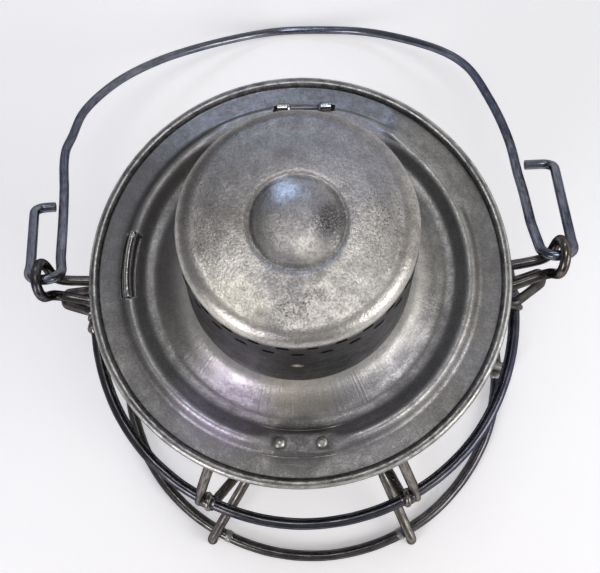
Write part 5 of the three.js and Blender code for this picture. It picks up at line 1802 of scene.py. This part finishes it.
def makeRaiser():
    x, h, r = raiser["x"], raiser["height"], raiser["shaft"]
    inner = raiser["spacing"] / 2 + raiser["thick"]
    knobFace = well["radius"] + raiser["knobStand"]
    end = knobFace + raiser["knobThick"]
    outline = [(0, -inner), (r - 0.2, -inner), (r, -inner + 0.2), (r, end - 0.3), (r - 0.3, end), (0, end)]
    points, faces = turned(outline, 24)
    makePiece("raiser_rod", [(p[0] + x, -p[2], p[1] + h) for p in points], faces, "raiser", "brass",
              ("raiser_shaft",))
    for name, side in (("front", -1), ("rear", 1)):
        makeCog(f"raiser_cog_{name}", f"raiser_wheel_{name}", raiser["wheel"], raiser["root"],
                raiser["teeth"], raiser["thick"] / 2, side * raiser["spacing"] / 2, 0.25)
    half = raiser["knobThick"] / 2
    makeCog("raiser_thumb_knob", "raiser_knob", raiser["knob"], raiser["knobRoot"], raiser["ridges"], half,
            -(knobFace + half), 0.5)


makeTank()
makeBurner()
makeWick()
makeRaiser()
report("fount, burner and wick raiser")


# Solder that joins the wires to the sheet

seams = {
    "out": 1.0, "aside": 1.9, "collarHeight": 172.5, "collarSize": (0.9, 1.3, 6.2),
    "wellHeight": 44, "wellSize": (0.9, 1.2, 9), "footLong": 3.4, "footWide": 0.4,
    "footAside": 4.2, "footBefore": -4.4, "before": (0, 1, 5),
}


def makeSolder():
    shape = Shape()
    for i in range(guard["uprights"]):
        turn = tau * i / guard["uprights"]
        out = collar["radius"] + seams["out"]
        for side in (-1, 1):
            place = (out, side * seams["aside"], seams["collarHeight"])
            shape.add(*solderBlob(place, seams["collarSize"], i + side * 0.3, turn))
        out = well["radius"] + seams["out"]
        for side in (-1, 1):
            place = (out, guard["wrapPitch"] / 2 + side * seams["aside"], seams["wellHeight"])
            shape.add(*solderBlob(place, seams["wellSize"], 9 + i + side, turn))
        # a longer run lies on the base ring, before or past the wire's foot
        turn += (seams["footBefore"] if i in seams["before"] else seams["footAside"]) / guard["baseRadius"]
        size = guard["baseWire"] + seams["footWide"]
        place = (guard["baseRadius"], 0, guard["baseWire"] + 0.2)
        shape.add(*solderBlob(place, (size, seams["footLong"], size - 0.2), 20 + i, turn))
    makePiece("solder_runs", shape.points, shape.faces, "frame", "solder", angle=60)


makeSolder()
report("solder")


# Floor, light and camera

floorSize = 4.0
glow = {"lit": 0.27, "far": 0.5, "from": 0.35, "to": 1.6}  # the floor grows paler away from the lantern
lights = [
    {"name": "softRight", "at": (1.15, -0.62, 0.75), "size": (0.9, 0.7), "power": 8.0,
     "color": (1.0, 0.985, 0.96)},
    {"name": "softLeft", "at": (-0.8, -1.0, 0.7), "size": (0.5, 0.6), "power": 6.5,
     "color": (1.0, 0.96, 1.0)},
    {"name": "softTop", "at": (-0.05, 0.05, 1.6), "size": (0.45, 0.45), "power": 3.2,
     "color": (1.0, 0.985, 0.96)},
    {"name": "coolBack", "at": (-0.15, 1.0, 1.2), "size": (0.5, 0.16), "power": 2.0,
     "color": (0.55, 0.7, 1.0)},
]
lightTarget = (0, 0, 0.15)
view = {
    "lens": 90, "sensor": 36, "farthest": 20, "at": (0.014158, -0.127341, 0.696157),
    "forward": (-0.0266, 0.2335, -0.972), "right": (0.9993, -0.0162, -0.0312),
}


def makeFloor():
    mesh = bpy.data.meshes.new("floor")
    size, level = floorSize, -standGap * mm
    corners = [(-size, -size, level), (size, -size, level), (size, size, level), (-size, size, level)]
    mesh.from_pydata(corners, [], [(0, 1, 2, 3)])
    material, tree, shader = startMaterial("paleFloor")
    place = addNode(tree, "ShaderNodeTexCoord").outputs["Object"]
    soft = cloud(tree, place, 9.0, 3.0)
    color = blend(tree, soft, (0.9, 0.892, 0.9, 1), (0.93, 0.922, 0.93, 1))
    tree.links.new(color, shader.inputs["Base Color"])
    shader.inputs["Roughness"].default_value = 0.9
    rays = addNode(tree, "ShaderNodeLightPath").outputs  # the floor looks white without lighting the lantern
    seen = calc(tree, "MAXIMUM", rays["Is Camera Ray"], rays["Is Glossy Ray"])
    seen = calc(tree, "MAXIMUM", seen, rays["Is Transmission Ray"])
    tree.links.new(color, shader.inputs["Emission Color"])
    reach = addNode(tree, "ShaderNodeVectorMath", operation="LENGTH", links={0: place}).outputs["Value"]
    far = times(tree, span(tree, reach, glow["from"], glow["to"], 0.0, glow["far"]), rays["Is Camera Ray"])
    strength = plus(tree, times(tree, seen, glow["lit"]), far)
    tree.links.new(strength, shader.inputs["Emission Strength"])
    mesh.materials.append(material)
    floor = bpy.data.objects.new("floor", mesh)
    bpy.context.scene.collection.objects.link(floor)


def addLight(given):
    lamp = bpy.data.lights.new(given["name"], "AREA")
    lamp.shape = "RECTANGLE"
    lamp.size, lamp.size_y = given["size"]
    lamp.energy = given["power"]
    lamp.color = given["color"]
    light = bpy.data.objects.new(given["name"], lamp)
    light.location = given["at"]
    toTarget = Vector(lightTarget) - Vector(given["at"])
    light.rotation_euler = toTarget.to_track_quat("-Z", "Y").to_euler()
    bpy.context.scene.collection.objects.link(light)


def makeWorld():
    # A dim room with a brighter wall on the right; only the camera sees it pale.
    world = bpy.data.worlds.new("studio")
    bpy.context.scene.world = world
    world.use_nodes = True
    tree = world.node_tree
    tree.nodes.clear()
    way = addNode(tree, "ShaderNodeTexCoord").outputs["Generated"]
    across, along, up = addNode(tree, "ShaderNodeSeparateXYZ", links={0: way}).outputs
    wall = blend(tree, span(tree, across, -0.8, 0.8), (0.18, 0.18, 0.19, 1), (0.8, 0.79, 0.78, 1))
    front = times(tree, span(tree, along, -0.75, -0.97), span(tree, up, 0.6, 0.25))
    wall = blend(tree, front, wall, (0.1, 0.095, 0.09, 1))
    color = blend(tree, span(tree, up, 0.25, 0.95), wall, (0.24, 0.24, 0.25, 1))
    camera = addNode(tree, "ShaderNodeLightPath").outputs["Is Camera Ray"]
    color = blend(tree, camera, color, (0.92, 0.92, 0.93, 1))
    background = addNode(tree, "ShaderNodeBackground", {"Strength": 1.0}, {"Color": color})
    output = tree.nodes.new("ShaderNodeOutputWorld")
    tree.links.new(background.outputs[0], output.inputs["Surface"])


def makeCamera():
    data = bpy.data.cameras.new("camera")
    data.lens = view["lens"]
    data.sensor_width = view["sensor"]
    data.clip_end = view["farthest"]
    camera = bpy.data.objects.new("camera", data)
    forward = Vector(view["forward"]).normalized()
    right = Vector(view["right"])
    right = (right - forward * right.dot(forward)).normalized()
    up = right.cross(forward)
    turn = Matrix((right, up, -forward)).transposed().to_4x4()
    camera.matrix_world = Matrix.Translation(view["at"]) @ turn
    bpy.context.scene.collection.objects.link(camera)
    bpy.context.scene.camera = camera


makeFloor()
for light in lights:
    addLight(light)
makeWorld()
makeCamera()
bpy.context.scene.view_settings.view_transform = "Standard"
report("floor, light and camera")
